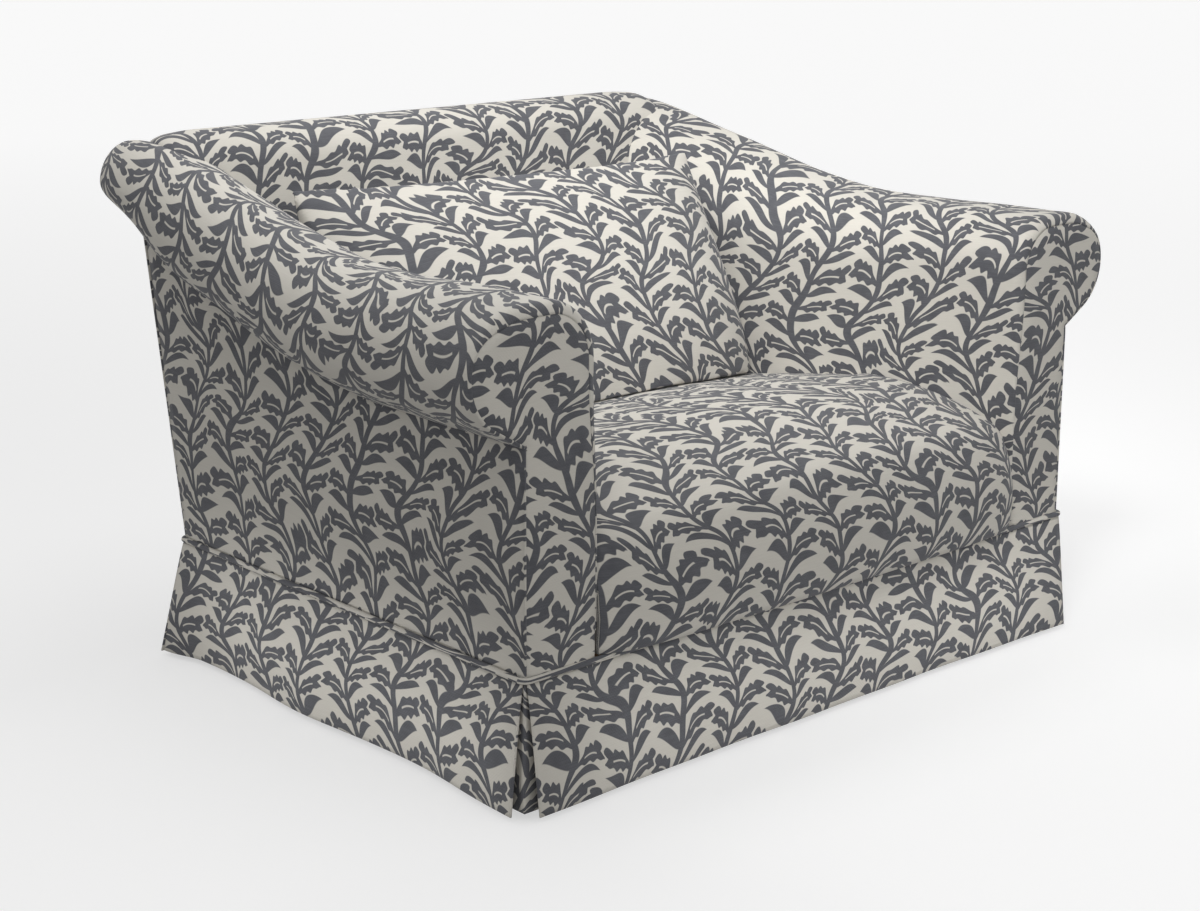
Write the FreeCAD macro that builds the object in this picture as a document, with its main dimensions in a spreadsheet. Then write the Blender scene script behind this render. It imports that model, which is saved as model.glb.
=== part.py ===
"""Snuggler chair: a wide upholstered chair with scroll arms that sweep up into a rolled back.

Millimetres, +Z up, the front looks along -Y, the floor is z = 0 and the origin is the middle
of the footprint. Left pieces are at -X; each right piece is the mirror image of its left twin.
"""
import FreeCAD, Part
import Sketcher
import math
import os

Vector = FreeCAD.Vector
doc = FreeCAD.newDocument("snuggler_chair")

# Driving sizes in millimetres and degrees.
SIZES = {
    "front_width": 1210, "rear_width": 1064, "body_depth": 870,
    "skirt_top": 190, "hem_gap": 8, "rear_rake": 11.4,
    "arm_width": 134, "roll_radius": 86, "arm_height": 698, "crease_drop": 101,
    "rise_start": 285, "rise_bend": 1020, "rise_angle": 14.85, "crest_bend": 500, "arm_rise": 130,
    "back_height": 840, "crest_radius": 74, "back_lean": 17,
    "cover_thickness": 3, "padding_thickness": 38, "fit_gap": 0.3,
    "facing_thickness": 14, "board_thickness": 18, "liner_thickness": 2, "cloth_thickness": 1.2,
    "rail_bottom": 122, "rail_height": 100, "rail_thickness": 28, "rear_rail_setback": 20,
    "post_thickness": 32, "side_board_thickness": 22, "tack_rail_height": 50,
    "block_leg": 90, "block_height": 60,
    "leg_top": 52, "leg_foot": 40, "leg_offset": 22, "glide_radius": 13, "glide_height": 3,
    "bolt_radius": 4, "bolt_length": 96, "dowel_radius": 5, "dowel_length": 50,
    "strap_width": 50, "strap_thickness": 2,
    "seat_height": 438, "seat_crown": 26, "seat_bulge": 44, "seat_end_bulge": 30, "seat_pitch": 8,
    "nose_radius": 220, "edge_radius": 60, "top_radius": 600,
    "cushion_width": 814, "cushion_height": 370, "cushion_seat": 130, "cushion_front": 58,
    "cushion_ears": 22, "cushion_place": 318, "cushion_lean": 130,
    "piping_radius": 4.5, "skirt_flare": 15, "skirt_end_flare": 22, "rear_flare": 46,
    "pleat_opening": 14, "pleat_depth": 62, "pleat_setback": 9,
    "zip_length": 440, "zip_width": 9, "slider_length": 14,
}
sheet = doc.addObject("Spreadsheet::Sheet", "Sizes")


class Size:
    """A number together with the spreadsheet formula that gives it."""

    def __init__(self, value, text):
        self.value = value
        self.text = text

    def __add__(self, other):
        other = size(other)
        return Size(self.value + other.value, f"({self.text} + {other.text})")

    def __sub__(self, other):
        other = size(other)
        return Size(self.value - other.value, f"({self.text} - {other.text})")

    def __mul__(self, other):
        other = size(other)
        return Size(self.value * other.value, f"({self.text} * {other.text})")

    def __truediv__(self, other):
        other = size(other)
        return Size(self.value / other.value, f"({self.text} / {other.text})")

    def __neg__(self):
        return Size(-self.value, f"(0 - {self.text})")


def size(number):
    """Give a plain number the form of a Size."""
    if isinstance(number, Size):
        return number
    return Size(float(number), f"{float(number):.9g}")


def root(number):
    return Size(math.sqrt(number.value), f"sqrt({number.text})")


def sine(angle):
    return Size(math.sin(math.radians(angle.value)), f"sin({angle.text})")


def cosine(angle):
    return Size(math.cos(math.radians(angle.value)), f"cos({angle.text})")


def tangent(angle):
    return Size(math.tan(math.radians(angle.value)), f"tan({angle.text})")


S = {}
for row, (alias, number) in enumerate(SIZES.items(), start=1):
    sheet.set(f"A{row}", alias)
    sheet.set(f"B{row}", str(number))
    sheet.setAlias(f"B{row}", alias)
    S[alias] = Size(float(number), f"Sizes.{alias}")
doc.recompute()

# Places that several pieces share.
GAP = S["fit_gap"]
COVER = S["cover_thickness"]
HALF = S["front_width"] / 2
SLOPE = (S["front_width"] - S["rear_width"]) / 2 / S["body_depth"]
SPLAY = Size(math.degrees(math.atan(SLOPE.value)), f"atan({SLOPE.text})")
ROLL_Z = S["arm_height"] - S["roll_radius"]
ROLL_REAR_Z = ROLL_Z + S["arm_rise"]
REAR_REACH = (S["arm_height"] + S["arm_rise"] - S["skirt_top"]) * tangent(S["rear_rake"])
FRONT = (S["seat_bulge"] - S["body_depth"] - REAR_REACH) / 2
REAR = FRONT + S["body_depth"]
RAIL_TOP = S["rail_bottom"] + S["rail_height"]
RAIL_FRONT = S["facing_thickness"] + GAP * 2
RAIL_BACK = RAIL_FRONT + S["rail_thickness"]
REAR_RAIL_BACK = S["body_depth"] - S["rear_rail_setback"]
REAR_RAIL_FRONT = REAR_RAIL_BACK - S["rail_thickness"]
BOARD_FRONT = S["facing_thickness"] + GAP
BOARD_BACK = BOARD_FRONT + S["board_thickness"]
LINER = COVER + GAP
FRAME_SIDE = LINER + S["liner_thickness"] + GAP
PAD_IN = COVER + GAP
PAD_OUT = PAD_IN + S["padding_thickness"]
CREST_Z = S["back_height"] - S["crest_radius"]
CREST_Y = (REAR + (CREST_Z - S["skirt_top"]) * tangent(S["rear_rake"])
           - S["crest_radius"] / cosine(S["rear_rake"]))
HESSIAN_TOP = RAIL_TOP + S["strap_thickness"] * 2 + S["cloth_thickness"] + GAP * 3
DECK = HESSIAN_TOP + GAP


def bind(thing, **formulas):
    """Tie properties of an object to sizes; two underscores stand for a dot."""
    for name, formula in formulas.items():
        thing.setExpression(name.replace("__", "."), size(formula).text)


def splay(thing):
    """Turn an object into the frame of the left arm: x inward, y rearward from its front corner."""
    thing.Placement = FreeCAD.Placement(Vector(-HALF.value, FRONT.value, 0),
                                        FreeCAD.Rotation(Vector(0, 0, -1), SPLAY.value))
    bind(thing, Placement__Base__x=-HALF, Placement__Base__y=FRONT, Placement__Rotation__Angle=SPLAY)
    return thing


def behind(distance, inward):
    """Depth in the arm's frame of the upright plane that lies `distance` behind the front plane."""
    return size(distance) / cosine(SPLAY) + size(inward) * SLOPE


def body(name):
    return doc.addObject("PartDesign::Body", name)


def draw(owner, name, plane, corners, lift=None):
    """Draw a closed outline on an origin plane, each corner tied to its formulas.

    A corner is (x, y), or (x, y, (centre x, centre y, radius, turn)) when an arc about that
    centre leads to the next corner, turn being 1 for anticlockwise and -1 for clockwise.
    """
    sketch = owner.newObject("Sketcher::SketchObject", name)
    base = [item for item in owner.Origin.OriginFeatures if item.Role == plane][0]
    sketch.AttachmentSupport = (base, [""])
    sketch.MapMode = "FlatFace"
    if lift is not None:
        bind(sketch, AttachmentOffset__Base__z=lift)
    ends = []
    radii = []
    for index, corner in enumerate(corners):
        after = corners[(index + 1) % len(corners)]
        start = Vector(size(corner[0]).value, size(corner[1]).value, 0)
        stop = Vector(size(after[0]).value, size(after[1]).value, 0)
        if len(corner) == 2:
            sketch.addGeometry(Part.LineSegment(start, stop), False)
            ends.append((1, 2))
            continue
        cx, cy, radius, turn = corner[2]
        centre = Vector(size(cx).value, size(cy).value, 0)
        first, last = (start, stop) if turn > 0 else (stop, start)
        low = math.atan2(first.y - centre.y, first.x - centre.x)
        high = math.atan2(last.y - centre.y, last.x - centre.x)
        if high < low:
            high += 2 * math.pi
        circle = Part.Circle(centre, Vector(0, 0, 1), size(radius).value)
        sketch.addGeometry(Part.ArcOfCircle(circle, low, high), False)
        ends.append((1, 2) if turn > 0 else (2, 1))
        radii.append((index, size(radius)))
    for index, corner in enumerate(corners):
        after = (index + 1) % len(corners)
        sketch.addConstraint(Sketcher.Constraint("Coincident", index, ends[index][1], after, ends[after][0]))
    for index, corner in enumerate(corners):
        for kind, formula in (("DistanceX", size(corner[0])), ("DistanceY", size(corner[1]))):
            rule = Sketcher.Constraint(kind, -1, 1, index, ends[index][0], formula.value)
            sketch.setExpression(f"Constraints[{sketch.addConstraint(rule)}]", formula.text)
    for index, radius in radii:
        rule = Sketcher.Constraint("Radius", index, radius.value)
        sketch.setExpression(f"Constraints[{sketch.addConstraint(rule)}]", radius.text)
    return sketch


def pad(owner, sketch, length, both=False, back=False):
    feature = owner.newObject("PartDesign::Pad", f"{owner.Name}_pad")
    feature.Profile = sketch
    feature.SideType = "Symmetric" if both else "One side"
    feature.Reversed = back
    bind(feature, Length=length)
    return owner


def prism(name, plane, corners, length, lift=None, both=False, back=False, splayed=False):
    """A body made by pushing one outline along its normal."""
    owner = body(name)
    if splayed:
        splay(owner)
    return pad(owner, draw(owner, f"{name}_outline", plane, corners, lift), length, both, back)


def rod(name, radius, length, base, direction):
    """A round bar from a base point along a direction."""
    bar = doc.addObject("Part::Cylinder", name)
    bind(bar, Radius=radius, Height=length)
    turn = FreeCAD.Rotation(Vector(0, 0, 1), direction)
    bar.Placement = FreeCAD.Placement(base, turn)
    return bar


def shaped(name, shape):
    """A soft or tilted form set from its own curves."""
    thing = doc.addObject("Part::Feature", name)
    thing.Shape = shape
    return thing


pieces = []


def keep(label, thing):
    """Name a finished piece for the list of files."""
    thing.Label = label
    pieces.append(thing)
    return thing


def less(name, thing, *tools):
    """Cut tools away from a piece, one after another."""
    for number, tool in enumerate(tools):
        cut = doc.addObject("Part::Cut", f"{name}_cut{number}")
        cut.Base = thing
        cut.Tool = tool
        thing = cut
    return thing


def group(name, things):
    together = doc.addObject("Part::Compound", name)
    together.Links = list(things)
    return together


def mirrored(name, thing):
    twin = doc.addObject("Part::Mirroring", name)
    twin.Source = thing
    twin.Normal = Vector(1, 0, 0)
    return twin


def keep_pair(stem, left):
    """Keep a left piece and its mirror image."""
    keep(f"{stem}_left", left)
    return keep(f"{stem}_right", mirrored(f"{stem}_right", left))


# Arm section in the arm's frame: inner face, shoulder, flat crown, roll and tucked underside.
def arm_chain(inset, foot):
    """Corners of the arm's outline, set in by `inset`, from the inner foot to the crease."""
    inset = size(inset)
    radius = S["roll_radius"] - inset
    drop = S["crease_drop"]
    reach = root(drop * drop - S["roll_radius"] * S["roll_radius"])
    shoulder = S["arm_width"] - S["roll_radius"]
    return [
        (S["arm_width"] - inset, foot),
        (S["arm_width"] - inset, ROLL_Z, (shoulder, ROLL_Z, radius, 1)),
        (shoulder, ROLL_Z + radius),
        (0, ROLL_Z + radius, (0, ROLL_Z, radius, 1)),
        (-(radius * reach / drop), ROLL_Z - radius * S["roll_radius"] / drop),
        (0, ROLL_Z - drop * radius / S["roll_radius"]),
    ]


def against(chain):
    """The same corners walked the other way, arcs turned with them."""
    walked = []
    for index in range(len(chain) - 1, -1, -1):
        corner = chain[index]
        before = chain[index - 1] if index else None
        if before is not None and len(before) == 3:
            cx, cy, radius, turn = before[2]
            walked.append((corner[0], corner[1], (cx, cy, radius, -turn)))
        else:
            walked.append((corner[0], corner[1]))
    return walked


BEND_STEPS = 3
ARM_LEAD = 20
ARM_TAIL = 160


def arm_stations():
    """Depth and rise along the arm: level, bending up, straight rise, bending level again."""
    low = S["rise_bend"]
    high = S["crest_bend"]
    angle = S["rise_angle"]
    turns = [angle * (step / BEND_STEPS) for step in range(BEND_STEPS + 1)]
    straight = (S["arm_rise"] - (low + high) * (size(1) - cosine(angle))) / tangent(angle)
    level = S["rise_start"] + (low + high) * sine(angle) + straight
    stations = [(size(-ARM_LEAD), size(0))]
    for turn in turns:
        stations.append((S["rise_start"] + low * sine(turn), low * (size(1) - cosine(turn))))
    for turn in reversed(turns):
        stations.append((level - high * sine(turn), S["arm_rise"] - high * (size(1) - cosine(turn))))
    return stations + [(level + ARM_TAIL, S["arm_rise"])]


def raised(corners, rise):
    """The same corners, arcs included, moved up."""
    moved = []
    for corner in corners:
        place = (corner[0], size(corner[1]) + rise)
        if len(corner) == 3:
            cx, cz, radius, turn = corner[2]
            place += ((cx, size(cz) + rise, radius, turn),)
        moved.append(place)
    return moved


def arm_sweep(name, corners):
    """Carry a section along the rise of the arm, always upright, in straight runs."""
    owner = splay(body(name))
    sections = []
    for number, (depth, rise) in enumerate(arm_stations()):
        section = draw(owner, f"{name}_section{number}", "XZ_Plane", raised(corners, rise), lift=-depth)
        sections.append(section)
    doc.recompute()
    sweep = owner.newObject("PartDesign::AdditiveLoft", f"{name}_sweep")
    sweep.Profile = sections[0]
    sweep.Sections = sections[1:]
    sweep.Ruled = True
    return owner


def block(name, base, sides):
    """A plain box used to trim other pieces."""
    thing = doc.addObject("Part::Box", name)
    thing.Length, thing.Width, thing.Height = sides
    thing.Placement.Base = base
    return thing


def front_trim(name, distance):
    """Everything in front of the plane that lies `distance` behind the front plane."""
    tool = block(name, Vector(-900, 0, -50), (1800, 300, 1200))
    bind(tool, Placement__Base__y=FRONT + distance - 300)
    return tool


def back_trim(name, distance):
    """Everything behind the plane that lies `distance` behind the front plane."""
    tool = block(name, Vector(-900, 0, -50), (1800, 400, 1200))
    bind(tool, Placement__Base__y=FRONT + distance)
    return tool


def rear_trim(name, inset):
    """Everything behind the raked rear plane set in by `inset`."""
    tool = block(name, Vector(0, 0, 0), (1800, 400, 1600))
    tool.Placement = FreeCAD.Placement(Vector(-900, 0, 0), FreeCAD.Rotation(Vector(-1, 0, 0), 1))
    shift = size(inset) / cosine(S["rear_rake"]) + (S["skirt_top"] + 200) * tangent(S["rear_rake"])
    bind(tool, Placement__Base__y=REAR - shift, Placement__Base__z=-200,
         Placement__Rotation__Angle=S["rear_rake"])
    return tool


at_cover = front_trim("front_of_arm_cover", 2)
at_padding = front_trim("front_of_arm_padding", BOARD_BACK + GAP)
at_rear = rear_trim("rear_of_arms", COVER + GAP)

below_arm = block("below_arms", Vector(-900, -900, -300), (1800, 1800, 300))
bind(below_arm, Height=RAIL_TOP + GAP + 300)

FOOT = RAIL_TOP - S["arm_rise"] - 10
cover_band = arm_chain(0, FOOT) + against(arm_chain(COVER, FOOT))
arm_cover = less("arm_cover_left", arm_sweep("arm_cover_sweep", cover_band), at_cover, at_rear, below_arm)
pad_band = arm_chain(PAD_IN, FOOT) + against(arm_chain(PAD_OUT, FOOT))
arm_padding = less("arm_padding_left", arm_sweep("arm_padding_sweep", pad_band), at_padding, at_rear, below_arm)
envelope_band = arm_chain(-GAP, FOOT - 40) + [(0, FOOT - 40)]
arm_envelope = arm_sweep("arm_envelope", envelope_band)
arm_envelope_right = mirrored("arm_envelope_right", arm_envelope)
keep_pair("arm_cover", arm_cover)
keep_pair("arm_padding", arm_padding)

# Arm frame: rounded top rail, posts, scroll board, tack rail.
inner = S["arm_width"] - S["roll_radius"]
core = S["roll_radius"] - PAD_OUT - GAP
top_rail = arm_sweep("arm_top_rail_sweep", [
    (inner + core, ROLL_Z, (inner, ROLL_Z, core, 1)),
    (inner, ROLL_Z + core),
    (0, ROLL_Z + core, (0, ROLL_Z, core, 1)),
    (-core, ROLL_Z),
])
rail_rear = rear_trim("rear_of_top_rail", 12)
keep_pair("arm_top_rail", less("arm_top_rail_left", top_rail, at_padding, rail_rear))


def post(name, near, far, top):
    """An upright board in the arm, standing on the seat rails."""
    side = S["arm_width"] - PAD_OUT - GAP
    corners = [(FRAME_SIDE, behind(near, FRAME_SIDE)), (side, behind(near, side)),
               (side, behind(far, side)), (FRAME_SIDE, behind(far, FRAME_SIDE))]
    return prism(name, "XY_Plane", corners, top - RAIL_TOP, lift=RAIL_TOP, splayed=True)


POST_FRONT = BOARD_BACK + GAP
POST_BACK = POST_FRONT + S["post_thickness"]
REAR_POST_BACK = REAR_RAIL_FRONT - 10
REAR_POST_FRONT = REAR_POST_BACK - S["post_thickness"]
front_post = post("front_post_blank", POST_FRONT, POST_BACK, ROLL_Z - GAP)
rear_post_blank = post("rear_post_blank", REAR_POST_FRONT, REAR_POST_BACK, ROLL_REAR_Z + 40)
under_rail = arm_sweep("under_top_rail", [
    (inner + core + 20, ROLL_Z - GAP), (inner + core + 20, ROLL_Z + 200),
    (-core - 20, ROLL_Z + 200), (-core - 20, ROLL_Z - GAP)])
rear_post = less("rear_arm_post_left", rear_post_blank, under_rail)

facing_inset = COVER + GAP * 2


def facing_corners(foot):
    """Closed outline of the scroll front, inside the turned edge of the arm cover."""
    drop = S["crease_drop"]
    reach = root(drop * drop - S["roll_radius"] * S["roll_radius"])
    radius = S["roll_radius"] - facing_inset
    chain = arm_chain(facing_inset, foot)[:-1]
    crease = ROLL_Z - (radius + facing_inset * reach / drop) * drop / S["roll_radius"]
    return chain + [(facing_inset, crease), (facing_inset, foot)]


def scroll_front(name, foot, near, far):
    """Board with the outline of the scroll between two planes behind the front plane."""
    blank = prism(f"{name}_blank", "XZ_Plane", facing_corners(foot), 120, lift=30, back=True, splayed=True)
    return less(name, blank, front_trim(f"{name}_front", near), back_trim(f"{name}_back", far))


keep_pair("arm_facing", scroll_front("arm_facing", S["skirt_top"] - 6, size(0), S["facing_thickness"]))
keep_pair("arm_scroll_board", scroll_front("arm_scroll_board", RAIL_TOP + GAP, BOARD_FRONT, BOARD_BACK))

tack_side = S["arm_width"] - PAD_OUT - GAP
tack_out = tack_side - S["rail_thickness"]
tack_corners = [(tack_out, behind(POST_BACK, tack_out)), (tack_side, behind(POST_BACK, tack_side)),
                (tack_side, behind(REAR_POST_FRONT, tack_side)), (tack_out, behind(REAR_POST_FRONT, tack_out))]
keep_pair("arm_tack_rail", prism("arm_tack_rail", "XY_Plane", tack_corners, S["tack_rail_height"],
                                 lift=RAIL_TOP + 40, splayed=True))


# Outside arm panel and its card liner: flat, bounded above by the crease of the roll.
def outside_panel(name, near, thickness, lower, front_tool):
    """Flat sheet in the side plane from the rail's foot up to the crease."""
    top = ROLL_Z - S["crease_drop"] - lower
    stations = arm_stations()
    corners = [(stations[0][0], S["rail_bottom"]), (stations[-1][0], S["rail_bottom"])]
    for depth, rise in reversed(stations):
        corners.append((depth, top + rise))
    sheet_blank = prism(f"{name}_sheet", "YZ_Plane", corners, thickness, lift=near, splayed=True)
    return less(name, sheet_blank, front_tool, at_rear)


at_panel = front_trim("front_of_outside_arm", GAP)
at_liner = front_trim("front_of_liner", BOARD_BACK + GAP)
keep_pair("outside_arm_cover", outside_panel("outside_arm_cover", size(0), COVER, GAP, at_panel))
keep_pair("outside_arm_liner", outside_panel("outside_arm_liner", LINER, S["liner_thickness"], size(6), at_liner))

# Seat rails, corner blocks, legs and their fixings.
front_span = HALF - 10
front_rail = prism("front_rail_blank", "XY_Plane",
                   [(-front_span, FRONT + RAIL_FRONT), (front_span, FRONT + RAIL_FRONT),
                    (front_span, FRONT + RAIL_BACK), (-front_span, FRONT + RAIL_BACK)],
                   S["rail_height"], lift=S["rail_bottom"])
rear_span = S["rear_width"] / 2 - 6
rear_rail = prism("rear_rail_blank", "XY_Plane",
                  [(-rear_span, FRONT + REAR_RAIL_FRONT), (rear_span, FRONT + REAR_RAIL_FRONT),
                   (rear_span, FRONT + REAR_RAIL_BACK), (-rear_span, FRONT + REAR_RAIL_BACK)],
                  S["rail_height"], lift=S["rail_bottom"])
rail_in = FRAME_SIDE + S["rail_thickness"]
side_near = RAIL_BACK + GAP
side_far = REAR_RAIL_FRONT - GAP
side_rail = prism("side_rail_blank", "XY_Plane",
                  [(FRAME_SIDE, behind(side_near, FRAME_SIDE)), (rail_in, behind(side_near, rail_in)),
                   (rail_in, behind(side_far, rail_in)), (FRAME_SIDE, behind(side_far, FRAME_SIDE))],
                  S["rail_height"], lift=S["rail_bottom"], splayed=True)


def corner_block(name, start, direction):
    """Triangular glue block in the corner of two rails; direction is 1 at the front, -1 at the back."""
    near = rail_in + GAP
    far = near + S["block_leg"]
    first = start + GAP * direction
    corners = [(near, behind(first, near)), (far, behind(first, far)),
               (near, behind(first + S["block_leg"] * direction, near))]
    return prism(name, "XY_Plane", corners, S["block_height"], lift=S["rail_bottom"], splayed=True)


def from_arm(inward, distance, height):
    """Point in the chair's frame from a place in the left arm's frame."""
    along = behind(distance, inward).value
    angle = math.radians(SPLAY.value)
    return Vector(-HALF.value + size(inward).value * math.cos(angle) + along * math.sin(angle),
                  FRONT.value + along * math.cos(angle) - size(inward).value * math.sin(angle),
                  size(height).value)


UP = Vector(0, 0, 1)
leg_in = rail_in + S["leg_offset"]
spots = {"front": (side_near, 1), "rear": (side_far, -1)}
blocks = []
bolts = []
nuts = []
glides = []
dowels = []
holes = {"front_rail": [], "rear_rail": [], "side_rail": [], "front_post": [], "rear_post": []}

for where, (start, direction) in spots.items():
    centre = from_arm(leg_in, start + S["leg_offset"] * direction, 0)
    lift = S["rail_bottom"] - S["bolt_length"] / 2
    bolt = rod(f"bolt_{where}", S["bolt_radius"], S["bolt_length"], centre + UP * lift.value, UP)
    bolt_hole = rod(f"bolt_hole_{where}", S["bolt_radius"] + 0.1, S["bolt_length"] + 2,
                    centre + UP * (lift.value - 1), UP)
    block_hole = rod(f"block_hole_{where}", S["bolt_radius"] + 1.7, S["block_height"] + 4,
                     centre + UP * (S["rail_bottom"].value - 2), UP)
    nut_top = S["rail_bottom"] + S["block_height"]
    barrel = rod(f"nut_barrel_{where}", S["bolt_radius"] + 1.5, 11, centre + UP * (nut_top.value - 11 + 0.5), UP)
    flange = rod(f"nut_flange_{where}", S["bolt_radius"] * 2.6, 1.5, centre + UP * (nut_top.value + 0.2), UP)
    nut = doc.addObject("Part::Fuse", f"nut_{where}")
    nut.Base = barrel
    nut.Tool = flange
    nuts.append(less(f"tee_nut_{where}", nut, rod(f"nut_bore_{where}", S["bolt_radius"] + 0.15, 60,
                                                    centre + UP * (nut_top.value - 30), UP)))
    bolts.append(bolt)
    blank = corner_block(f"block_{where}", start, direction)
    blocks.append(less(f"corner_block_{where}", blank, block_hole))

    leg = doc.addObject("Part::Wedge", f"leg_{where}_taper")
    leg.Placement = FreeCAD.Placement(centre, FreeCAD.Rotation(Vector(1, 0, 0), 90))
    top = S["leg_top"] / 2
    foot = S["leg_foot"] / 2
    bind(leg, Xmin=-foot, Xmax=foot, Zmin=-foot, Zmax=foot, X2min=-top, X2max=top, Z2min=-top, Z2max=top,
         Ymin=S["glide_height"], Ymax=S["rail_bottom"] - GAP)
    pin_hole = rod(f"pin_hole_{where}", 2.1, 16, centre + UP * 1, UP)
    keep_pair(f"leg_{where}", less(f"leg_{where}_left", leg, bolt_hole, pin_hole))
    disc = rod(f"glide_disc_{where}", S["glide_radius"], S["glide_height"], centre, UP)
    pin = rod(f"glide_pin_{where}", 2, 12, centre + UP * 2, UP)
    glide = doc.addObject("Part::Fuse", f"glide_{where}")
    glide.Base = disc
    glide.Tool = pin
    glides.append(glide)

# Dowels tie the side rails to the end rails and the arm posts to the rails under them.
middle = FRAME_SIDE + S["rail_thickness"] / 2
along = from_arm(middle, 100, 0) - from_arm(middle, 0, 0)
along.normalize()
DOWEL_GAP = 0.2


def dowel(name, base, direction, first, second):
    """One dowel and the holes for it in two pieces."""
    length = S["dowel_length"]
    start = base - direction * (length.value / 2)
    dowels.append(rod(name, S["dowel_radius"], length, start, direction))
    hole = rod(f"{name}_hole", S["dowel_radius"] + DOWEL_GAP, length + 2, start - direction, direction)
    holes[first].append(hole)
    holes[second].append(hole)


for number, share in enumerate((0.3, 0.7)):
    height = S["rail_bottom"] + S["rail_height"] * share
    dowel(f"dowel_front_{number}", from_arm(middle, side_near, height), along, "front_rail", "side_rail")
    dowel(f"dowel_rear_{number}", from_arm(middle, side_far, height), along, "rear_rail", "side_rail")
dowel("dowel_front_post", from_arm(middle, POST_BACK - 10, RAIL_TOP), UP, "front_post", "side_rail")
dowel("dowel_rear_post", from_arm(middle, REAR_POST_FRONT + 16, RAIL_TOP), UP, "rear_post", "side_rail")
all_dowels = group("left_dowels", dowels)
keep("frame_dowels", group("frame_dowels", [all_dowels, mirrored("right_dowels", all_dowels)]))


def bored(name, thing, which):
    return less(name, thing, group(f"{name}_holes", holes[which]))


def both_sides(name, which):
    left = group(f"{name}_left_holes", holes[which])
    return group(f"{name}_holes", [left, mirrored(f"{name}_right_holes", left)])


keep("front_seat_rail", less("front_seat_rail_bored", front_rail, both_sides("front_rail", "front_rail")))
keep("rear_seat_rail", less("rear_seat_rail_bored", rear_rail, both_sides("rear_rail", "rear_rail")))
keep_pair("side_seat_rail", bored("side_seat_rail_left", side_rail, "side_rail"))
keep_pair("front_arm_post", bored("front_arm_post_left", front_post, "front_post"))
keep_pair("rear_arm_post", bored("rear_arm_post_bored", rear_post, "rear_post"))
for stem, things in (("corner_blocks", blocks), ("leg_bolts", bolts), ("leg_tee_nuts", nuts), ("leg_glides", glides)):
    left = group(f"{stem}_left", things)
    keep(stem, group(stem, [left, mirrored(f"{stem}_mirror", left)]))


# Back section in the chair's frame: leaning inner face, round crest, raked outer face.
def back_chain(inset, foot, tail):
    """Corners from the inner foot over the crest to `tail` on the raked rear face."""
    inset = size(inset)
    radius = S["crest_radius"] - inset
    lean = S["back_lean"]
    rake = S["rear_rake"]
    face = CREST_Y - radius / cosine(lean)
    rear = CREST_Y + radius / cosine(rake)
    return [
        (face + (foot - CREST_Z) * tangent(lean), foot),
        (CREST_Y - radius * cosine(lean), CREST_Z + radius * sine(lean), (CREST_Y, CREST_Z, radius, -1)),
        (CREST_Y + radius * cosine(rake), CREST_Z - radius * sine(rake)),
        (rear + (tail - CREST_Z) * tangent(rake), tail),
    ]


BACK_JOIN = ROLL_REAR_Z + COVER * sine(S["rear_rake"]) + GAP * 2
BACK_SPAN = S["rear_width"] - 8
BACK_FOOT = HESSIAN_TOP + GAP
back_cover_band = back_chain(0, BACK_FOOT, BACK_JOIN) + against(back_chain(COVER, BACK_FOOT, BACK_JOIN))
back_cover = prism("inside_back_band", "YZ_Plane", back_cover_band, BACK_SPAN, both=True)
back_pad_band = back_chain(PAD_IN, BACK_FOOT, BACK_JOIN) + against(back_chain(PAD_OUT, BACK_FOOT, BACK_JOIN))
back_padding = prism("back_padding_band", "YZ_Plane", back_pad_band, BACK_SPAN, both=True)
keep("inside_back_cover", less("inside_back_cover", back_cover, arm_envelope, arm_envelope_right))
keep("back_padding", less("back_padding", back_padding, arm_envelope, arm_envelope_right))

web_inset = PAD_OUT + GAP
web_depth = S["cloth_thickness"] + S["strap_thickness"] * 2 + GAP * 3
frame_inset = web_inset + web_depth
back_rail_low = CREST_Z - 70
top_chain = back_chain(frame_inset + GAP, back_rail_low, back_rail_low)
top_bar = prism("back_top_rail_bar", "YZ_Plane", top_chain, S["rear_width"] - S["arm_width"], both=True)
keep("back_top_rail", less("back_top_rail", top_bar, arm_envelope, arm_envelope_right))


def back_front(inset, height):
    """Depth of the inner face of the back, set in by `inset`, at a height."""
    lean = S["back_lean"]
    return CREST_Y - (S["crest_radius"] - inset) / cosine(lean) + (size(height) - CREST_Z) * tangent(lean)


def back_rear(inset, height):
    rake = S["rear_rake"]
    return REAR + (size(height) - S["skirt_top"]) * tangent(rake) - size(inset) / cosine(rake)


side_near_x = S["arm_width"] + 1
board_low = RAIL_TOP + GAP
board_high = back_rail_low - GAP
skew = (side_near_x + S["side_board_thickness"]) * sine(SPLAY)
side_board = splay(body("back_side_blank"))
board_corners = []
for inset, height, find in ((frame_inset, board_low, back_front), (FRAME_SIDE + 2, board_low, back_rear),
                            (FRAME_SIDE + 2, board_high, back_rear), (frame_inset, board_high, back_front)):
    board_corners.append(((find(inset, height) - FRONT + skew) / cosine(SPLAY), height))
board_corners[1] = (board_corners[1][0] - skew, board_corners[1][1])
board_corners[2] = (board_corners[2][0] - skew, board_corners[2][1])
pad(side_board, draw(side_board, "back_side_board_outline", "YZ_Plane", board_corners, lift=side_near_x),
    S["side_board_thickness"])
keep_pair("back_side_board", side_board)

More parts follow.
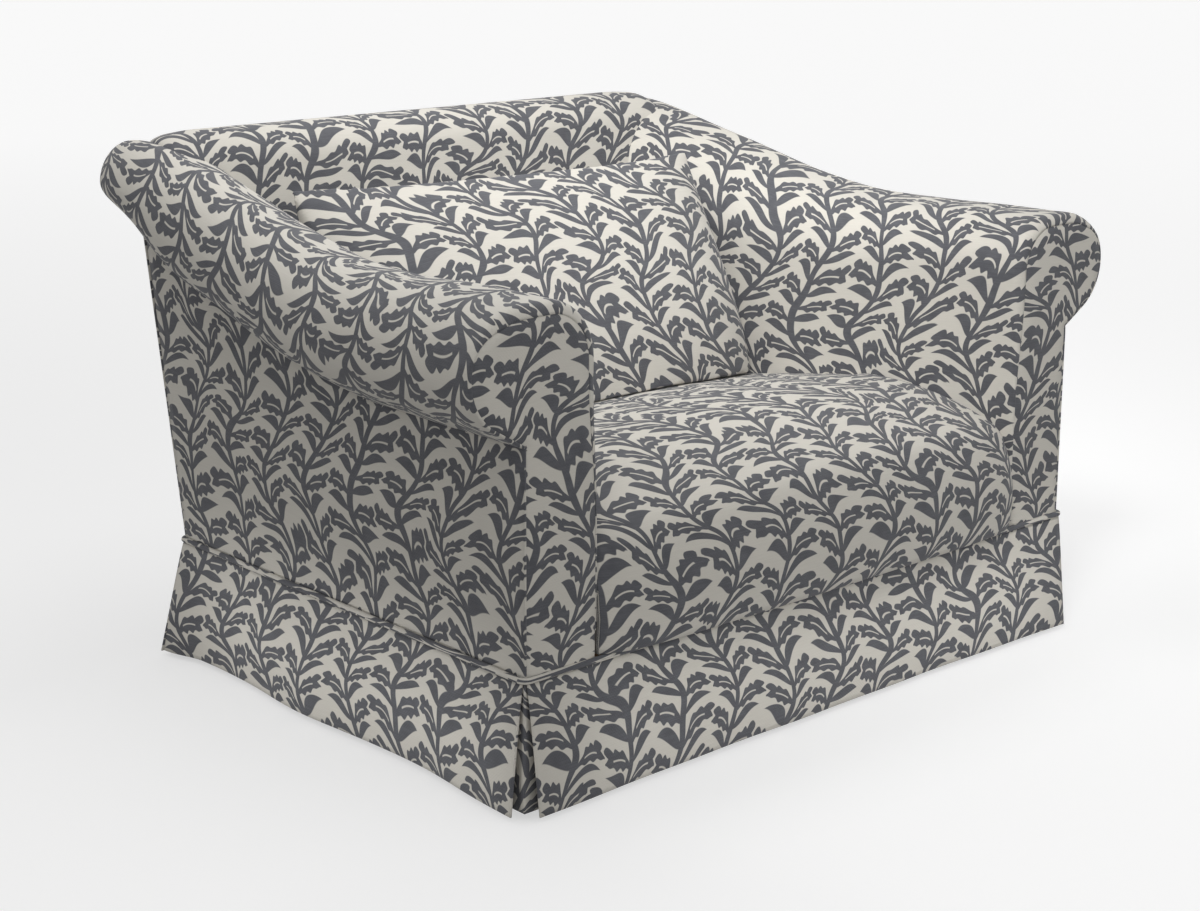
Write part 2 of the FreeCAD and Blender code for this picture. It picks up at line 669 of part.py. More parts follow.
tack_low = RAIL_TOP + 110
tack_y = back_front(frame_inset, tack_low + S["tack_rail_height"]) + 1
board_inside = (side_near_x + S["side_board_thickness"]) / cosine(SPLAY)
tack_span = HALF - (tack_y - FRONT + S["rail_thickness"]) * SLOPE - board_inside - GAP
keep("back_tack_rail", prism("back_tack_rail", "XY_Plane",
                             [(-tack_span, tack_y), (tack_span, tack_y),
                              (tack_span, tack_y + S["rail_thickness"]), (-tack_span, tack_y + S["rail_thickness"])],
                             S["tack_rail_height"], lift=tack_low))
upright_low = back_rear(FRAME_SIDE + 30, RAIL_TOP)
upright_high = back_rear(FRAME_SIDE + 30, board_high)
keep("back_centre_upright", prism("back_centre_upright", "YZ_Plane",
                                  [(upright_low - 38, board_low), (upright_low, board_low),
                                   (upright_high, board_high), (upright_high - 38, board_high)],
                                  S["post_thickness"], both=True))

# Outside back: one flat sheet in the raked plane with an ear over the end of each arm roll.
owner = body("outside_back_sheet")
owner.Placement = FreeCAD.Placement(Vector(0, REAR.value, S["skirt_top"].value),
                                    FreeCAD.Rotation(Vector(-1, 0, 0), S["rear_rake"].value))
bind(owner, Placement__Base__y=REAR, Placement__Base__z=S["skirt_top"], Placement__Rotation__Angle=S["rear_rake"])


def side_at(height):
    """Half width of the body at a height on the raked rear plane."""
    depth = S["body_depth"] + (size(height) - S["skirt_top"]) * tangent(S["rear_rake"])
    return HALF - depth * SLOPE - 0.5


def up_rake(height):
    return (size(height) - S["skirt_top"]) / cosine(S["rear_rake"])


ear = S["roll_radius"] - 1
ear_x = side_at(ROLL_REAR_Z)
ear_z = up_rake(ROLL_REAR_Z)
drop = S["crease_drop"]
reach = root(drop * drop - S["roll_radius"] * S["roll_radius"])
right = [
    (side_at(S["rail_bottom"]), up_rake(S["rail_bottom"])),
    (side_at(ROLL_REAR_Z - drop), ear_z - drop),
    (ear_x + ear * reach / drop, ear_z - ear * S["roll_radius"] / drop, (ear_x, ear_z, ear, 1)),
    (ear_x, ear_z + ear),
    (ear_x - inner + 4, ear_z + ear, (ear_x - inner + 4, ear_z, ear, 1)),
    (ear_x - inner + 4 - ear, ear_z),
]
left = []
for corner in against(right):
    flipped = [-corner[0], corner[1]]
    if len(corner) == 3:
        cx, cy, radius, turn = corner[2]
        flipped.append((-cx, cy, radius, -turn))
    left.append(tuple(flipped))
keep("outside_back_cover", pad(owner, draw(owner, "outside_back_outline", "XZ_Plane", right + left), COVER))


# Webbing and hessian under the seat foam and behind the back padding.
def strap(name, length, placement, across):
    thing = doc.addObject("Part::Box", name)
    bind(thing, Length=S["strap_width"] if across else length, Width=length if across else S["strap_width"],
         Height=S["strap_thickness"])
    thing.Placement = placement
    return thing


straps = []
web_front = RAIL_FRONT + 6
web_length = REAR_RAIL_BACK - web_front - 6
pitch = S["strap_width"].value * 2.6
for number in range(6):
    spot = Vector((number - 2.5) * pitch - S["strap_width"].value / 2, (FRONT + web_front).value, (RAIL_TOP + GAP).value)
    straps.append(strap(f"seat_strap_long_{number}", web_length, FreeCAD.Placement(spot, FreeCAD.Rotation()), True))
upper_z = RAIL_TOP + S["strap_thickness"] + GAP * 2
for number in range(5):
    depth = RAIL_BACK + 30 + S["strap_width"] * 2.4 * number
    half = HALF - (depth + S["strap_width"]) * SLOPE - S["arm_width"] - 4
    spot = Vector(-half.value, (FRONT + depth).value, upper_z.value)
    straps.append(strap(f"seat_strap_cross_{number}", half * 2, FreeCAD.Placement(spot, FreeCAD.Rotation()), False))
keep("seat_webbing", group("seat_webbing", straps))

hessian_low = HESSIAN_TOP - S["cloth_thickness"]
hessian_end = REAR_RAIL_FRONT - 150
near_half = HALF - RAIL_BACK * SLOPE - S["arm_width"] - 6
far_half = HALF - hessian_end * SLOPE - S["arm_width"] - 6
keep("seat_hessian", prism("seat_hessian", "XY_Plane",
                           [(-near_half, FRONT + RAIL_FRONT + 2), (near_half, FRONT + RAIL_FRONT + 2),
                            (far_half, FRONT + hessian_end), (-far_half, FRONT + hessian_end)],
                           S["cloth_thickness"], lift=hessian_low))

lean_up = Vector(0, math.sin(math.radians(S["back_lean"].value)), math.cos(math.radians(S["back_lean"].value)))
lean_in = Vector(0, math.cos(math.radians(S["back_lean"].value)), -math.sin(math.radians(S["back_lean"].value)))
web_foot = Vector(0, back_front(web_inset, tack_low).value, tack_low.value)
web_reach = (board_high - tack_low).value / lean_up.z + 40
half_back = (HALF - (REAR - FRONT) * SLOPE - S["arm_width"] - 12).value


def on_back(across, up, deep):
    """Point on the leaning frame behind the back padding."""
    return web_foot + Vector(across, 0, 0) + lean_up * up + lean_in * deep


def sheet_on_back(name, across, up, deep, width, height, thickness):
    """A thin flat piece lying on the leaning plane."""
    plate = Part.makeBox(width, thickness, height)
    thing = shaped(name, plate)
    turn = FreeCAD.Rotation(Vector(-1, 0, 0), S["back_lean"].value)
    thing.Placement = FreeCAD.Placement(on_back(across, up, deep), turn)
    return thing


cloth = S["cloth_thickness"].value
keep("back_hessian", sheet_on_back("back_hessian", -half_back, 0, GAP.value, half_back * 2, web_reach, cloth))
back_straps = []
strap_w = S["strap_width"].value
strap_t = S["strap_thickness"].value
for number in range(-2, 3):
    back_straps.append(sheet_on_back(f"back_strap_up_{number + 2}", number * 140 - strap_w / 2, 0,
                                     cloth + 2 * GAP.value, strap_w, web_reach - 2, strap_t))
for number in range(3):
    back_straps.append(sheet_on_back(f"back_strap_cross_{number}", -half_back, 60 + number * 105,
                                     cloth + strap_t + 3 * GAP.value, half_back * 2, strap_w, strap_t))
keep("back_webbing", group("back_webbing", back_straps))


# Seat: one over-stuffed form, crowned across, rounded over the front border.
NOSE_TURN = math.radians(25)
EDGE_TURN = math.radians(68)
SEAT_STEPS = 5
SEAT_HALF = (HALF - S["arm_width"] / cosine(SPLAY)).value


def seat_crown(x):
    return max(0.0, 1 - (x / SEAT_HALF) ** 2)


def seat_circles(x):
    """Centres and radii of the front, edge and top arcs of the seat section at a place across."""
    crown = seat_crown(x)
    peak = S["seat_height"].value - S["seat_crown"].value * (1 - crown)
    bulge = S["seat_end_bulge"].value + (S["seat_bulge"].value - S["seat_end_bulge"].value) * crown
    nose, edge, top = (S[name].value for name in ("nose_radius", "edge_radius", "top_radius"))
    rise = (nose - edge) * math.sin(NOSE_TURN) + (edge - top) * math.sin(EDGE_TURN) + top
    centre = (FRONT.value - bulge + nose, peak - rise)
    second = (centre[0] - (nose - edge) * math.cos(NOSE_TURN), centre[1] + (nose - edge) * math.sin(NOSE_TURN))
    third = (second[0] - (edge - top) * math.cos(EDGE_TURN), second[1] + (edge - top) * math.sin(EDGE_TURN))
    return (centre, nose), (second, edge), (third, top)


def seat_top(x, y):
    """Height of the sloping part of the seat's top."""
    pitch_angle = math.radians(S["seat_pitch"].value)
    centre, radius = seat_circles(x)[2]
    start_y = centre[0] + radius * math.sin(pitch_angle)
    return centre[1] + radius * math.cos(pitch_angle) - (y - start_y) * math.tan(pitch_angle)


def seat_wire(x, inset, apron, deck, back):
    """Closed section of the seat at a place across, set in by `inset`."""
    pitch_angle = math.radians(S["seat_pitch"].value)
    lean = math.tan(math.radians(S["back_lean"].value))
    (nose_c, nose), (edge_c, edge), (top_c, top) = seat_circles(x)

    def on(centre, radius, angle):
        return Vector(x, centre[0] - (radius - inset) * math.cos(angle), centre[1] + (radius - inset) * math.sin(angle))

    low = math.asin((apron - nose_c[1]) / (nose - inset))
    start = on(nose_c, nose, low)
    end_angle = math.pi / 2 + pitch_angle
    last = on(top_c, top, end_angle)
    foot_y = back_front(0, deck).value - back
    run = (foot_y + (last.z - deck) * lean - last.y) / (1 + math.tan(pitch_angle) * lean)
    crest = Vector(x, last.y + run, last.z - run * math.tan(pitch_angle))
    inner_y = FRONT.value + RAIL_FRONT.value - GAP.value
    points = [on(nose_c, nose, NOSE_TURN), on(edge_c, edge, EDGE_TURN)]
    edges = [
        Part.makeLine(Vector(x, inner_y, apron), start),
        Part.Arc(start, on(nose_c, nose, (low + NOSE_TURN) / 2), points[0]).toShape(),
        Part.Arc(points[0], on(edge_c, edge, (NOSE_TURN + EDGE_TURN) / 2), points[1]).toShape(),
        Part.Arc(points[1], on(top_c, top, (EDGE_TURN + end_angle) / 2), last).toShape(),
        Part.makeLine(last, crest),
        Part.makeLine(crest, Vector(x, foot_y, deck)),
        Part.makeLine(Vector(x, foot_y, deck), Vector(x, inner_y, deck)),
        Part.makeLine(Vector(x, inner_y, deck), Vector(x, inner_y, apron)),
    ]
    return Part.Wire(edges)


def seat_form(inset, apron, deck, back):
    stations = [SEAT_HALF * (step / SEAT_STEPS) for step in range(-SEAT_STEPS, SEAT_STEPS + 1)]
    return Part.makeLoft([seat_wire(x, inset, apron, deck, back) for x in stations], True, True)


def arm_side_trim(name, clearance):
    """Everything outside the inner face of the left arm."""
    near = S["arm_width"] + clearance
    return prism(name, "XY_Plane", [(-200, -200), (near, -200), (near, 1200), (-200, 1200)], 700, splayed=True)


seat_left = arm_side_trim("left_of_seat", GAP)
seat_right = mirrored("right_of_seat", seat_left)
apron = S["skirt_top"].value + 2 * S["piping_radius"].value + 1
skin = COVER.value
gap = GAP.value
outer_seat = shaped("seat_outer", seat_form(0, apron, DECK.value, 1.0))
inner_seat = shaped("seat_inner", seat_form(skin, apron - 8, DECK.value - 8, 1.0 + skin))
foam = shaped("seat_foam_form", seat_form(skin + gap, apron, DECK.value, 1.0 + skin + gap))
keep("seat_cover", less("seat_cover", outer_seat, inner_seat, seat_left, seat_right))
keep("seat_foam", less("seat_foam", foam, seat_left, seat_right))


# Back cushion: a loose knife-edge pillow, flat where it rests on the seat, drawn in along its sides.
def cushion_wire(x, inset):
    """Closed section of the cushion at a place across: base, front arc, back arc.

    The lining is set in further at the sewn edge, where the seam allowance lies.
    """
    share = x / (S["cushion_width"].value / 2)
    fullness = max(0.03, 1 - share ** 4) ** 0.5
    base_y = REAR.value - S["cushion_place"].value
    flat = 10 + (S["cushion_seat"].value - 10) * fullness
    lift = REST_GAP + inset
    rest = Vector(x, base_y - 1.5 * inset, seat_top(x, base_y) + lift)
    front = Vector(x, base_y - flat + 1.5 * inset, seat_top(x, base_y - flat) + lift)
    ear = S["cushion_ears"].value * share ** 4
    low = seat_top(0, base_y) + REST_GAP
    tip = Vector(x, base_y + S["cushion_lean"].value + ear, low + S["cushion_height"].value + ear - 3 * inset)
    chord = tip - front
    normal = Vector(0, -chord.z, chord.y)
    normal.normalize()
    front_mid = (front + tip) * 0.5 + normal * (4 + S["cushion_front"].value * fullness - inset)
    chord = tip - rest
    normal = Vector(0, chord.z, -chord.y)
    normal.normalize()
    middle = (rest + tip) * 0.5
    lean = math.radians(S["back_lean"].value)
    room = (back_front(0, middle.z).value - middle.y) * math.cos(lean) - 2.5
    back_mid = middle + normal * (4 + (min(room, chord.Length * 0.42) - 4) * fullness - inset)
    return Part.Wire([
        Part.makeLine(rest, front),
        Part.Arc(front, front_mid, tip).toShape(),
        Part.Arc(tip, back_mid, rest).toShape(),
    ])


REST_GAP = 0.6
CUSHION_STEPS = 6
FILLING_GAP = 2.4


def cushion_form(inset):
    half = S["cushion_width"].value / 2 - 4 * inset
    turns = [math.pi / 2 * step / CUSHION_STEPS for step in range(-CUSHION_STEPS, CUSHION_STEPS + 1)]
    return Part.makeLoft([cushion_wire(math.sin(turn) * half, inset) for turn in turns], True, True)


# The zip lies low on the back of the cushion, in a slit through its cover.
section = cushion_wire(0, 0)
curve = section.Edges[2]
span = curve.LastParameter - curve.FirstParameter
zip_at = curve.LastParameter - span * 0.2
zip_point = curve.valueAt(zip_at)
zip_along = curve.tangentAt(zip_at)
zip_angle = math.degrees(math.atan2(zip_along.z, zip_along.y))
zip_turn = FreeCAD.Rotation(Vector(1, 0, 0), zip_angle)
zip_width = S["zip_width"].value
zip_length = S["zip_length"].value


def zip_box(name, length, width, low, high, shift=0.0):
    """A bar along the zip: `low` to `high` measured outward from the cushion's surface."""
    thing = shaped(name, Part.makeBox(length, width, high - low))
    flip = FreeCAD.Rotation(Vector(1, 0, 0), 180)
    place = FreeCAD.Placement(zip_point, zip_turn)
    inward = FreeCAD.Placement(Vector(-length / 2 + shift, -width / 2, -high), FreeCAD.Rotation())
    thing.Placement = place.multiply(inward) if zip_faces_down else place.multiply(
        FreeCAD.Placement(Vector(0, 0, 0), flip)).multiply(inward)
    return thing


outward = zip_turn.multVec(Vector(0, 0, -1))
middle_of_cushion = Vector(0, section.CenterOfMass.y, section.CenterOfMass.z)
zip_faces_down = outward.dot(zip_point - middle_of_cushion) > 0
slit = zip_box("zip_slit", zip_length, zip_width, -9, 6)
cushion_outer = shaped("cushion_outer", cushion_form(0))
cushion_inner = shaped("cushion_inner", cushion_form(skin))
filling = shaped("cushion_filling_form", cushion_form(skin + FILLING_GAP))
keep("back_cushion_cover", less("back_cushion_cover", cushion_outer, cushion_inner, slit))
room_for_zip = zip_box("zip_room", zip_length + 2, zip_width + 2, -9, 6)
keep("back_cushion_filling", less("cushion_filling_cut", filling, room_for_zip))
tape = zip_box("zip_tape", zip_length - 0.6, zip_width - 0.6, -2, -0.4)
teeth = zip_box("zip_teeth", zip_length - 12, 3, -0.5, 0.6)
chain = doc.addObject("Part::Fuse", "zip_chain")
chain.Base = tape
chain.Tool = teeth
keep("cushion_zip_tape", chain)
start_shift = zip_length / 2 - S["slider_length"].value - 4
slider = zip_box("zip_slider_body", S["slider_length"].value, 7, 1.0, 4.2, start_shift)
pull = zip_box("zip_slider_pull", 22, 5, 3.8, 5.2, start_shift - 10)
runner = doc.addObject("Part::Fuse", "zip_runner")
runner.Base = slider
runner.Tool = pull
keep("zip_slider", runner)


# Skirt: flat panels that hang from the piping and flare more toward the corner pleats.
PLEAT_THICKNESS = 2.0
SKIRT_OUT = PLEAT_THICKNESS + 3 * gap


def hanging(name, stations, place):
    """Loft thin upright sections; `place` gives (across, out) points from station, out and height."""
    top = S["skirt_top"].value
    hem = S["hem_gap"].value
    wires = []
    for along_it, flare in stations:
        corners = [(SKIRT_OUT, top), (SKIRT_OUT + skin, top), (SKIRT_OUT + skin + flare, hem), (SKIRT_OUT + flare, hem)]
        points = [place(along_it, out, height) for out, height in corners]
        wires.append(Part.makePolygon(points + points[:1]))
    return shaped(name, Part.makeLoft(wires, True, False))


def flares(length, lip, middle, end):
    """Stations along a panel with more flare near its ends."""
    return [(length * share + lip, flare) for share, flare in
            ((0, end), (0.12, middle + (end - middle) * 0.55), (0.5, middle),
             (0.88, middle + (end - middle) * 0.55), (1, end))]


flare = S["skirt_flare"].value
end_flare = S["skirt_end_flare"].value
width = S["front_width"].value
front_skirt = hanging("skirt_front_sheet", flares(width, -width / 2, flare, end_flare),
                      lambda x, out, z: Vector(x, FRONT.value - out, z))
back_width = S["rear_width"].value
back_skirt = hanging("skirt_back_sheet", flares(back_width, -back_width / 2, S["rear_flare"].value * 0.8, S["rear_flare"].value),
                     lambda x, out, z: Vector(x, REAR.value + out, z))
depth = S["body_depth"].value / math.cos(math.radians(SPLAY.value))
left_skirt = hanging("skirt_left_sheet", flares(depth, 0, flare, end_flare),
                     lambda y, out, z: Vector(-out, y, z))
splay(left_skirt)


def wedge(name, x, y, turn):
    """Tall thin wedge that opens a panel's end toward the hem."""
    opening = S["pleat_opening"].value
    top = S["skirt_top"].value + 1
    outline = Part.makePolygon([Vector(-1, 0, top), Vector(0, 0, top), Vector(opening, 0, 0),
                                Vector(-1, 0, 0), Vector(-1, 0, top)])
    thing = shaped(name, Part.Face(outline).extrude(Vector(0, 160, 0)))
    turned = FreeCAD.Placement(Vector(x, y, 0), FreeCAD.Rotation(UP, turn))
    thing.Placement = turned.multiply(FreeCAD.Placement(Vector(0, -80, 0), FreeCAD.Rotation()))
    return thing


front_end = wedge("front_skirt_end", -width / 2, FRONT.value, 0)
back_end = wedge("back_skirt_end", -back_width / 2, REAR.value, 0)
side_front_end = wedge("side_skirt_front_end", -width / 2, FRONT.value, 90 - SPLAY.value)
side_rear_end = wedge("side_skirt_rear_end", -back_width / 2, REAR.value, -90 - SPLAY.value)
keep("skirt_front", less("skirt_front", front_skirt, front_end, mirrored("front_skirt_end_right", front_end)))
keep("skirt_back", less("skirt_back", back_skirt, back_end, mirrored("back_skirt_end_right", back_end)))
keep_pair("skirt", less("skirt_left", left_skirt, side_front_end, side_rear_end))


def pleat(name, corner, along_x, along_y, flare_x, flare_y):
    """Insert behind a corner of the skirt: a bent sheet that follows both panels."""
    arm = S["pleat_depth"].value
    wires = []
    for height, share in ((S["skirt_top"].value - 1, 0.0), (S["hem_gap"].value + 4, 1.0)):
        inner_out = gap - S["pleat_setback"].value * share
        rings = []
        for out in (inner_out + PLEAT_THICKNESS, inner_out):
            out_x = flare_x * share + out
            out_y = flare_y * share + out
            tip = corner - along_y * out_y - along_x * out_x
            rings.append([tip + along_x * (arm + out_x), tip, tip + along_y * (arm + out_y)])
        ring = rings[0] + rings[1][::-1]
        wires.append(Part.makePolygon([Vector(p.x, p.y, height) for p in ring + ring[:1]]))
    return shaped(name, Part.makeLoft(wires, True, True))


cos_s = math.cos(math.radians(SPLAY.value))
sin_s = math.sin(math.radians(SPLAY.value))
front_corner = Vector(-width / 2, FRONT.value, 0)
rear_corner = Vector(-back_width / 2, REAR.value, 0)
back_along = Vector(sin_s, cos_s, 0)
ahead_along = Vector(-sin_s, -cos_s, 0)
across_along = Vector(1, 0, 0)
front_pleat = pleat("pleat_front", front_corner, across_along, back_along, end_flare, end_flare)
rear_pleat = pleat("pleat_rear", rear_corner, across_along, ahead_along, end_flare, S["rear_flare"].value)
left_pleats = group("pleats_left", [front_pleat, rear_pleat])
keep("corner_pleats", group("corner_pleats", [left_pleats, mirrored("pleats_right", left_pleats)]))

# Piping round the body just above the skirt, and the dust cover under the frame.
cord = S["piping_radius"]
pipe_z = S["skirt_top"] + cord + GAP
pipe_front = rod("piping_front", cord, S["front_width"] + cord * 4, Vector(-HALF.value - 2 * cord.value, (FRONT - cord - GAP).value, pipe_z.value), Vector(1, 0, 0))
rear_line = back_rear(0, pipe_z)
pipe_back = rod("piping_back", cord, S["rear_width"] + cord * 4,
                Vector(-back_width / 2 - 2 * cord.value, (rear_line + cord + 1.2).value, pipe_z.value), Vector(1, 0, 0))
pipe_start = from_arm(-(cord + GAP), GAP, pipe_z)
pipe_stop = from_arm(-(cord + GAP), S["body_depth"] + 0.5, pipe_z)
run = pipe_stop - pipe_start
pipe_side = rod("piping_side", cord, size(run.Length), pipe_start, run)
keep("skirt_piping", group("skirt_piping", [pipe_front, pipe_back, pipe_side, mirrored("piping_side_right", pipe_side)]))

edge = 14
clear = rail_in + S["leg_top"] + 60
front_half = HALF - edge
rear_half = S["rear_width"] / 2 - edge
keep("dust_cover", prism("dust_cover", "XY_Plane", [
    (-(front_half - clear), FRONT + RAIL_FRONT + 2), (front_half - clear, FRONT + RAIL_FRONT + 2),
    (front_half - clear * SLOPE - 4, FRONT + RAIL_FRONT + clear), (rear_half - 4, FRONT + REAR_RAIL_BACK - clear),
    (rear_half - clear, FRONT + REAR_RAIL_BACK - 2), (-(rear_half - clear), FRONT + REAR_RAIL_BACK - 2),
    (-(rear_half - 4), FRONT + REAR_RAIL_BACK - clear), (-(front_half - clear * SLOPE - 4), FRONT + RAIL_FRONT + clear)],
    S["cloth_thickness"], lift=S["rail_bottom"] - S["cloth_thickness"] - GAP))

doc.recompute()
for thing in doc.Objects:
    if "Invalid" in thing.State or "Error" in thing.State:
        raise RuntimeError(f"{thing.Name} did not build: {thing.State}")
os.makedirs("parts", exist_ok=True)
for thing in pieces:
    if thing.Shape.isNull() or not thing.Shape.isValid() or not thing.Shape.Solids:
        raise RuntimeError(f"{thing.Label} has no valid solid")
    thing.Shape.exportStep(f"parts/{thing.Label}.step")
print(len(pieces), "pieces")
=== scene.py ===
"""Snuggler chair: printed linen covers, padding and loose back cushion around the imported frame."""

import bpy
import numpy as np
from mathutils import Matrix, Vector


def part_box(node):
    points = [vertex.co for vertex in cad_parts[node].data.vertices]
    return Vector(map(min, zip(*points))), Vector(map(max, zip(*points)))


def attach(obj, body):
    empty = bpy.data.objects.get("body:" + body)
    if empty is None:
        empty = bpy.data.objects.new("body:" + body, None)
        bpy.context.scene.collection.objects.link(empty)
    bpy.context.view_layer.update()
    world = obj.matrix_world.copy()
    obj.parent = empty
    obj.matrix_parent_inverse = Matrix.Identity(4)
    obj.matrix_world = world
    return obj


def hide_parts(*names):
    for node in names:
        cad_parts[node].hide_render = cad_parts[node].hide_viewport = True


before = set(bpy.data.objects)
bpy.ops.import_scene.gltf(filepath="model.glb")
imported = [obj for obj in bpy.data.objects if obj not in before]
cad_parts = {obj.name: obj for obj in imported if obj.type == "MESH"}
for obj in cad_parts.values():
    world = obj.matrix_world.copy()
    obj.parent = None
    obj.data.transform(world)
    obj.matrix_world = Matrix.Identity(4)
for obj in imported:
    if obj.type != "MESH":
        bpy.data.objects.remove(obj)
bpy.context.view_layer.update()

# Wooden frame: rails and posts of planed beech, dowelled and glued, with scroll boards of birch plywood.
# The covers hide all of it; it is what they are tacked to.
GRAIN_WIDTH = 0.0025
GRAIN_LENGTH = 0.08
GRAIN_RIDGE = 0.0003
VENEER = 0.0014
SIDES = (("left", 1), ("right", -1))


def linear(colour):
    """An sRGB hex colour as linear red, green, blue and alpha."""
    share = np.array([int(colour[at:at + 2], 16) for at in (1, 3, 5)]) / 255
    light = np.where(share <= 0.04045, share / 12.92, ((share + 0.055) / 1.055) ** 2.4)
    return (*light.tolist(), 1.0)


def add(tree, kind, inputs=(), **settings):
    """Add a node with its settings; an input is a value, a socket, or a node whose first output is meant."""
    node = tree.nodes.new(kind)
    for name, value in settings.items():
        setattr(node, name, value)
    for key, value in inputs.items() if isinstance(inputs, dict) else enumerate(inputs):
        if isinstance(value, bpy.types.Node):
            value = value.outputs[0]
        if isinstance(value, bpy.types.NodeSocket):
            tree.links.new(value, node.inputs[key])
        else:
            node.inputs[key].default_value = value
    return node


def material(name, **sockets):
    """A new material, its node tree and its shader, with the shader's constant sockets set."""
    made = bpy.data.materials.new(name)
    made.use_nodes = True
    shader = made.node_tree.nodes["Principled BSDF"]
    for socket, value in sockets.items():
        shader.inputs[socket.replace("_", " ")].default_value = value
    return made, made.node_tree, shader


def dress(made, *names):
    """Give nodes of the frame a finish."""
    for name in names:
        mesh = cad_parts[name].data
        mesh.materials.clear()
        mesh.materials.append(made)


def wood(name, pale, dark, roughness, stretch):
    """Sawn timber: fine dark flecks drawn out along the grain, with a faint ridge to each."""
    made, tree, shader = material(name, Roughness=roughness)
    place = add(tree, "ShaderNodeTexCoord")
    drawn = add(tree, "ShaderNodeVectorMath", (place.outputs["Object"], stretch), operation="MULTIPLY")
    grain = add(tree, "ShaderNodeTexNoise", {"Vector": drawn, "Scale": 1.0, "Detail": 3.0})
    tint = add(tree, "ShaderNodeMix", {0: grain, 6: linear(pale), 7: linear(dark)}, data_type="RGBA")
    ridge = add(tree, "ShaderNodeBump", {"Height": grain, "Distance": GRAIN_RIDGE, "Strength": 0.4})
    tree.links.new(tint.outputs[2], shader.inputs["Base Color"])
    tree.links.new(ridge.outputs[0], shader.inputs["Normal"])
    return made


fine, long = 1 / GRAIN_WIDTH, 1 / GRAIN_LENGTH
# Planed beech is pale pink-brown with short darker flecks; each board has its grain along its length.
beech_across = wood("planed_beech_across", "#d9b78f", "#b48a5f", 0.55, (long, fine, fine))
beech_along = wood("planed_beech_along", "#d9b78f", "#b48a5f", 0.55, (fine, long, fine))
beech_upright = wood("planed_beech_upright", "#d9b78f", "#b48a5f", 0.55, (fine, fine, long))
# Birch plywood shows its veneers as thin pale and brown lines on its edges.
plywood = wood("birch_plywood", "#dcc39c", "#a67c4e", 0.6, (long, 1 / VENEER, long))
dress(beech_across, "front_seat_rail", "rear_seat_rail", "back_top_rail", "back_tack_rail", "corner_blocks")
dress(beech_upright, "back_centre_upright", "frame_dowels")
for side, sign in SIDES:
    dress(beech_along, f"side_seat_rail_{side}", f"arm_top_rail_{side}", f"arm_tack_rail_{side}")
    dress(beech_upright, f"front_arm_post_{side}", f"rear_arm_post_{side}", f"back_side_board_{side}")
    dress(plywood, f"arm_scroll_board_{side}")

# Legs: short tapered blocks of stained beech, hidden behind the skirt.
# Hanger bolts hold them up into tee nuts in the corner blocks, and each stands on a nailed nylon glide.
SCRATCH = 0.0008
SCUFF = 0.004


def mottled(name, pale, dark, speck, detail, **sockets):
    """A plain finish whose colour drifts between two tints, in specks of about the size given."""
    made, tree, shader = material(name, **sockets)
    place = add(tree, "ShaderNodeTexCoord")
    noise = {"Vector": place.outputs["Object"], "Scale": 1 / speck, "Detail": detail}
    drift = add(tree, "ShaderNodeTexNoise", noise)
    tint = add(tree, "ShaderNodeMix", {0: drift, 6: linear(pale), 7: linear(dark)}, data_type="RGBA")
    tree.links.new(tint.outputs[2], shader.inputs["Base Color"])
    return made


# Dark-stained beech: the grain shows faintly through a brown stain.
stained = wood("dark_stained_beech", "#4a3323", "#2c1d13", 0.4, (fine, fine, long))
for side, sign in SIDES:
    dress(stained, f"leg_front_{side}", f"leg_rear_{side}")
# Zinc-plated steel: bright grey with a faint turned scratch.
zinc = mottled("zinc_plated_steel", "#b9bcc0", "#8f9398", SCRATCH, 2.0, Metallic=1.0, Roughness=0.35)
dress(zinc, "leg_bolts", "leg_tee_nuts")
# Moulded nylon: milky, slightly waxy, scuffed underneath.
nylon = mottled("moulded_nylon", "#d8d3c6", "#b7b1a3", SCUFF, 3.0, Roughness=0.45, IOR=1.53)
dress(nylon, "leg_glides")

# Suspension: jute webbing straps under hessian for the seat and back, and card that lines the outside arms.
# All are stretched and tacked to the frame.
STRAP_YARN = 0.004
HESSIAN_YARN = 0.003
CARD_FIBRE = 0.0025
MATH = "ShaderNodeMath"


def woven(name, pale, dark, yarn):
    """Plain weave of round yarns: the sum of two sine waves times a third, with slubs in the colour."""
    made, tree, shader = material(name, Roughness=0.9)
    place = add(tree, "ShaderNodeTexCoord")
    pace = (np.pi / yarn,) * 3
    turned = add(tree, "ShaderNodeVectorMath", (place.outputs["Object"], pace), operation="MULTIPLY")
    wave = add(tree, "ShaderNodeVectorMath", (turned,), operation="SINE")
    part = add(tree, "ShaderNodeSeparateXYZ", (wave,))
    high = add(tree, MATH, (part.outputs["X"], part.outputs["Y"]), operation="ADD")
    weave = add(tree, MATH, (high, part.outputs["Z"]), operation="MULTIPLY")
    slubs = {"Vector": place.outputs["Object"], "Scale": 0.5 / yarn, "Detail": 3.0}
    slub = add(tree, "ShaderNodeTexNoise", slubs)
    tint = add(tree, "ShaderNodeMix", {0: slub, 6: linear(pale), 7: linear(dark)}, data_type="RGBA")
    relief = add(tree, "ShaderNodeBump", {"Height": weave, "Distance": yarn / 5, "Strength": 0.5})
    tree.links.new(tint.outputs[2], shader.inputs["Base Color"])
    tree.links.new(relief.outputs[0], shader.inputs["Normal"])
    return made


# Jute webbing: coarse, hairy brown straps. Hessian: the same fibre, finer and paler.
dress(woven("jute_webbing", "#b79a6b", "#8a6d44", STRAP_YARN), "seat_webbing", "back_webbing")
dress(woven("hessian", "#c3a676", "#96784c", HESSIAN_YARN), "seat_hessian", "back_hessian")
# Pressed card: dull grey-brown with specks of fibre.
card = mottled("pressed_card", "#a39a8c", "#7d7467", CARD_FIBRE, 4.0, Roughness=0.95)
dress(card, "outside_arm_liner_left", "outside_arm_liner_right")

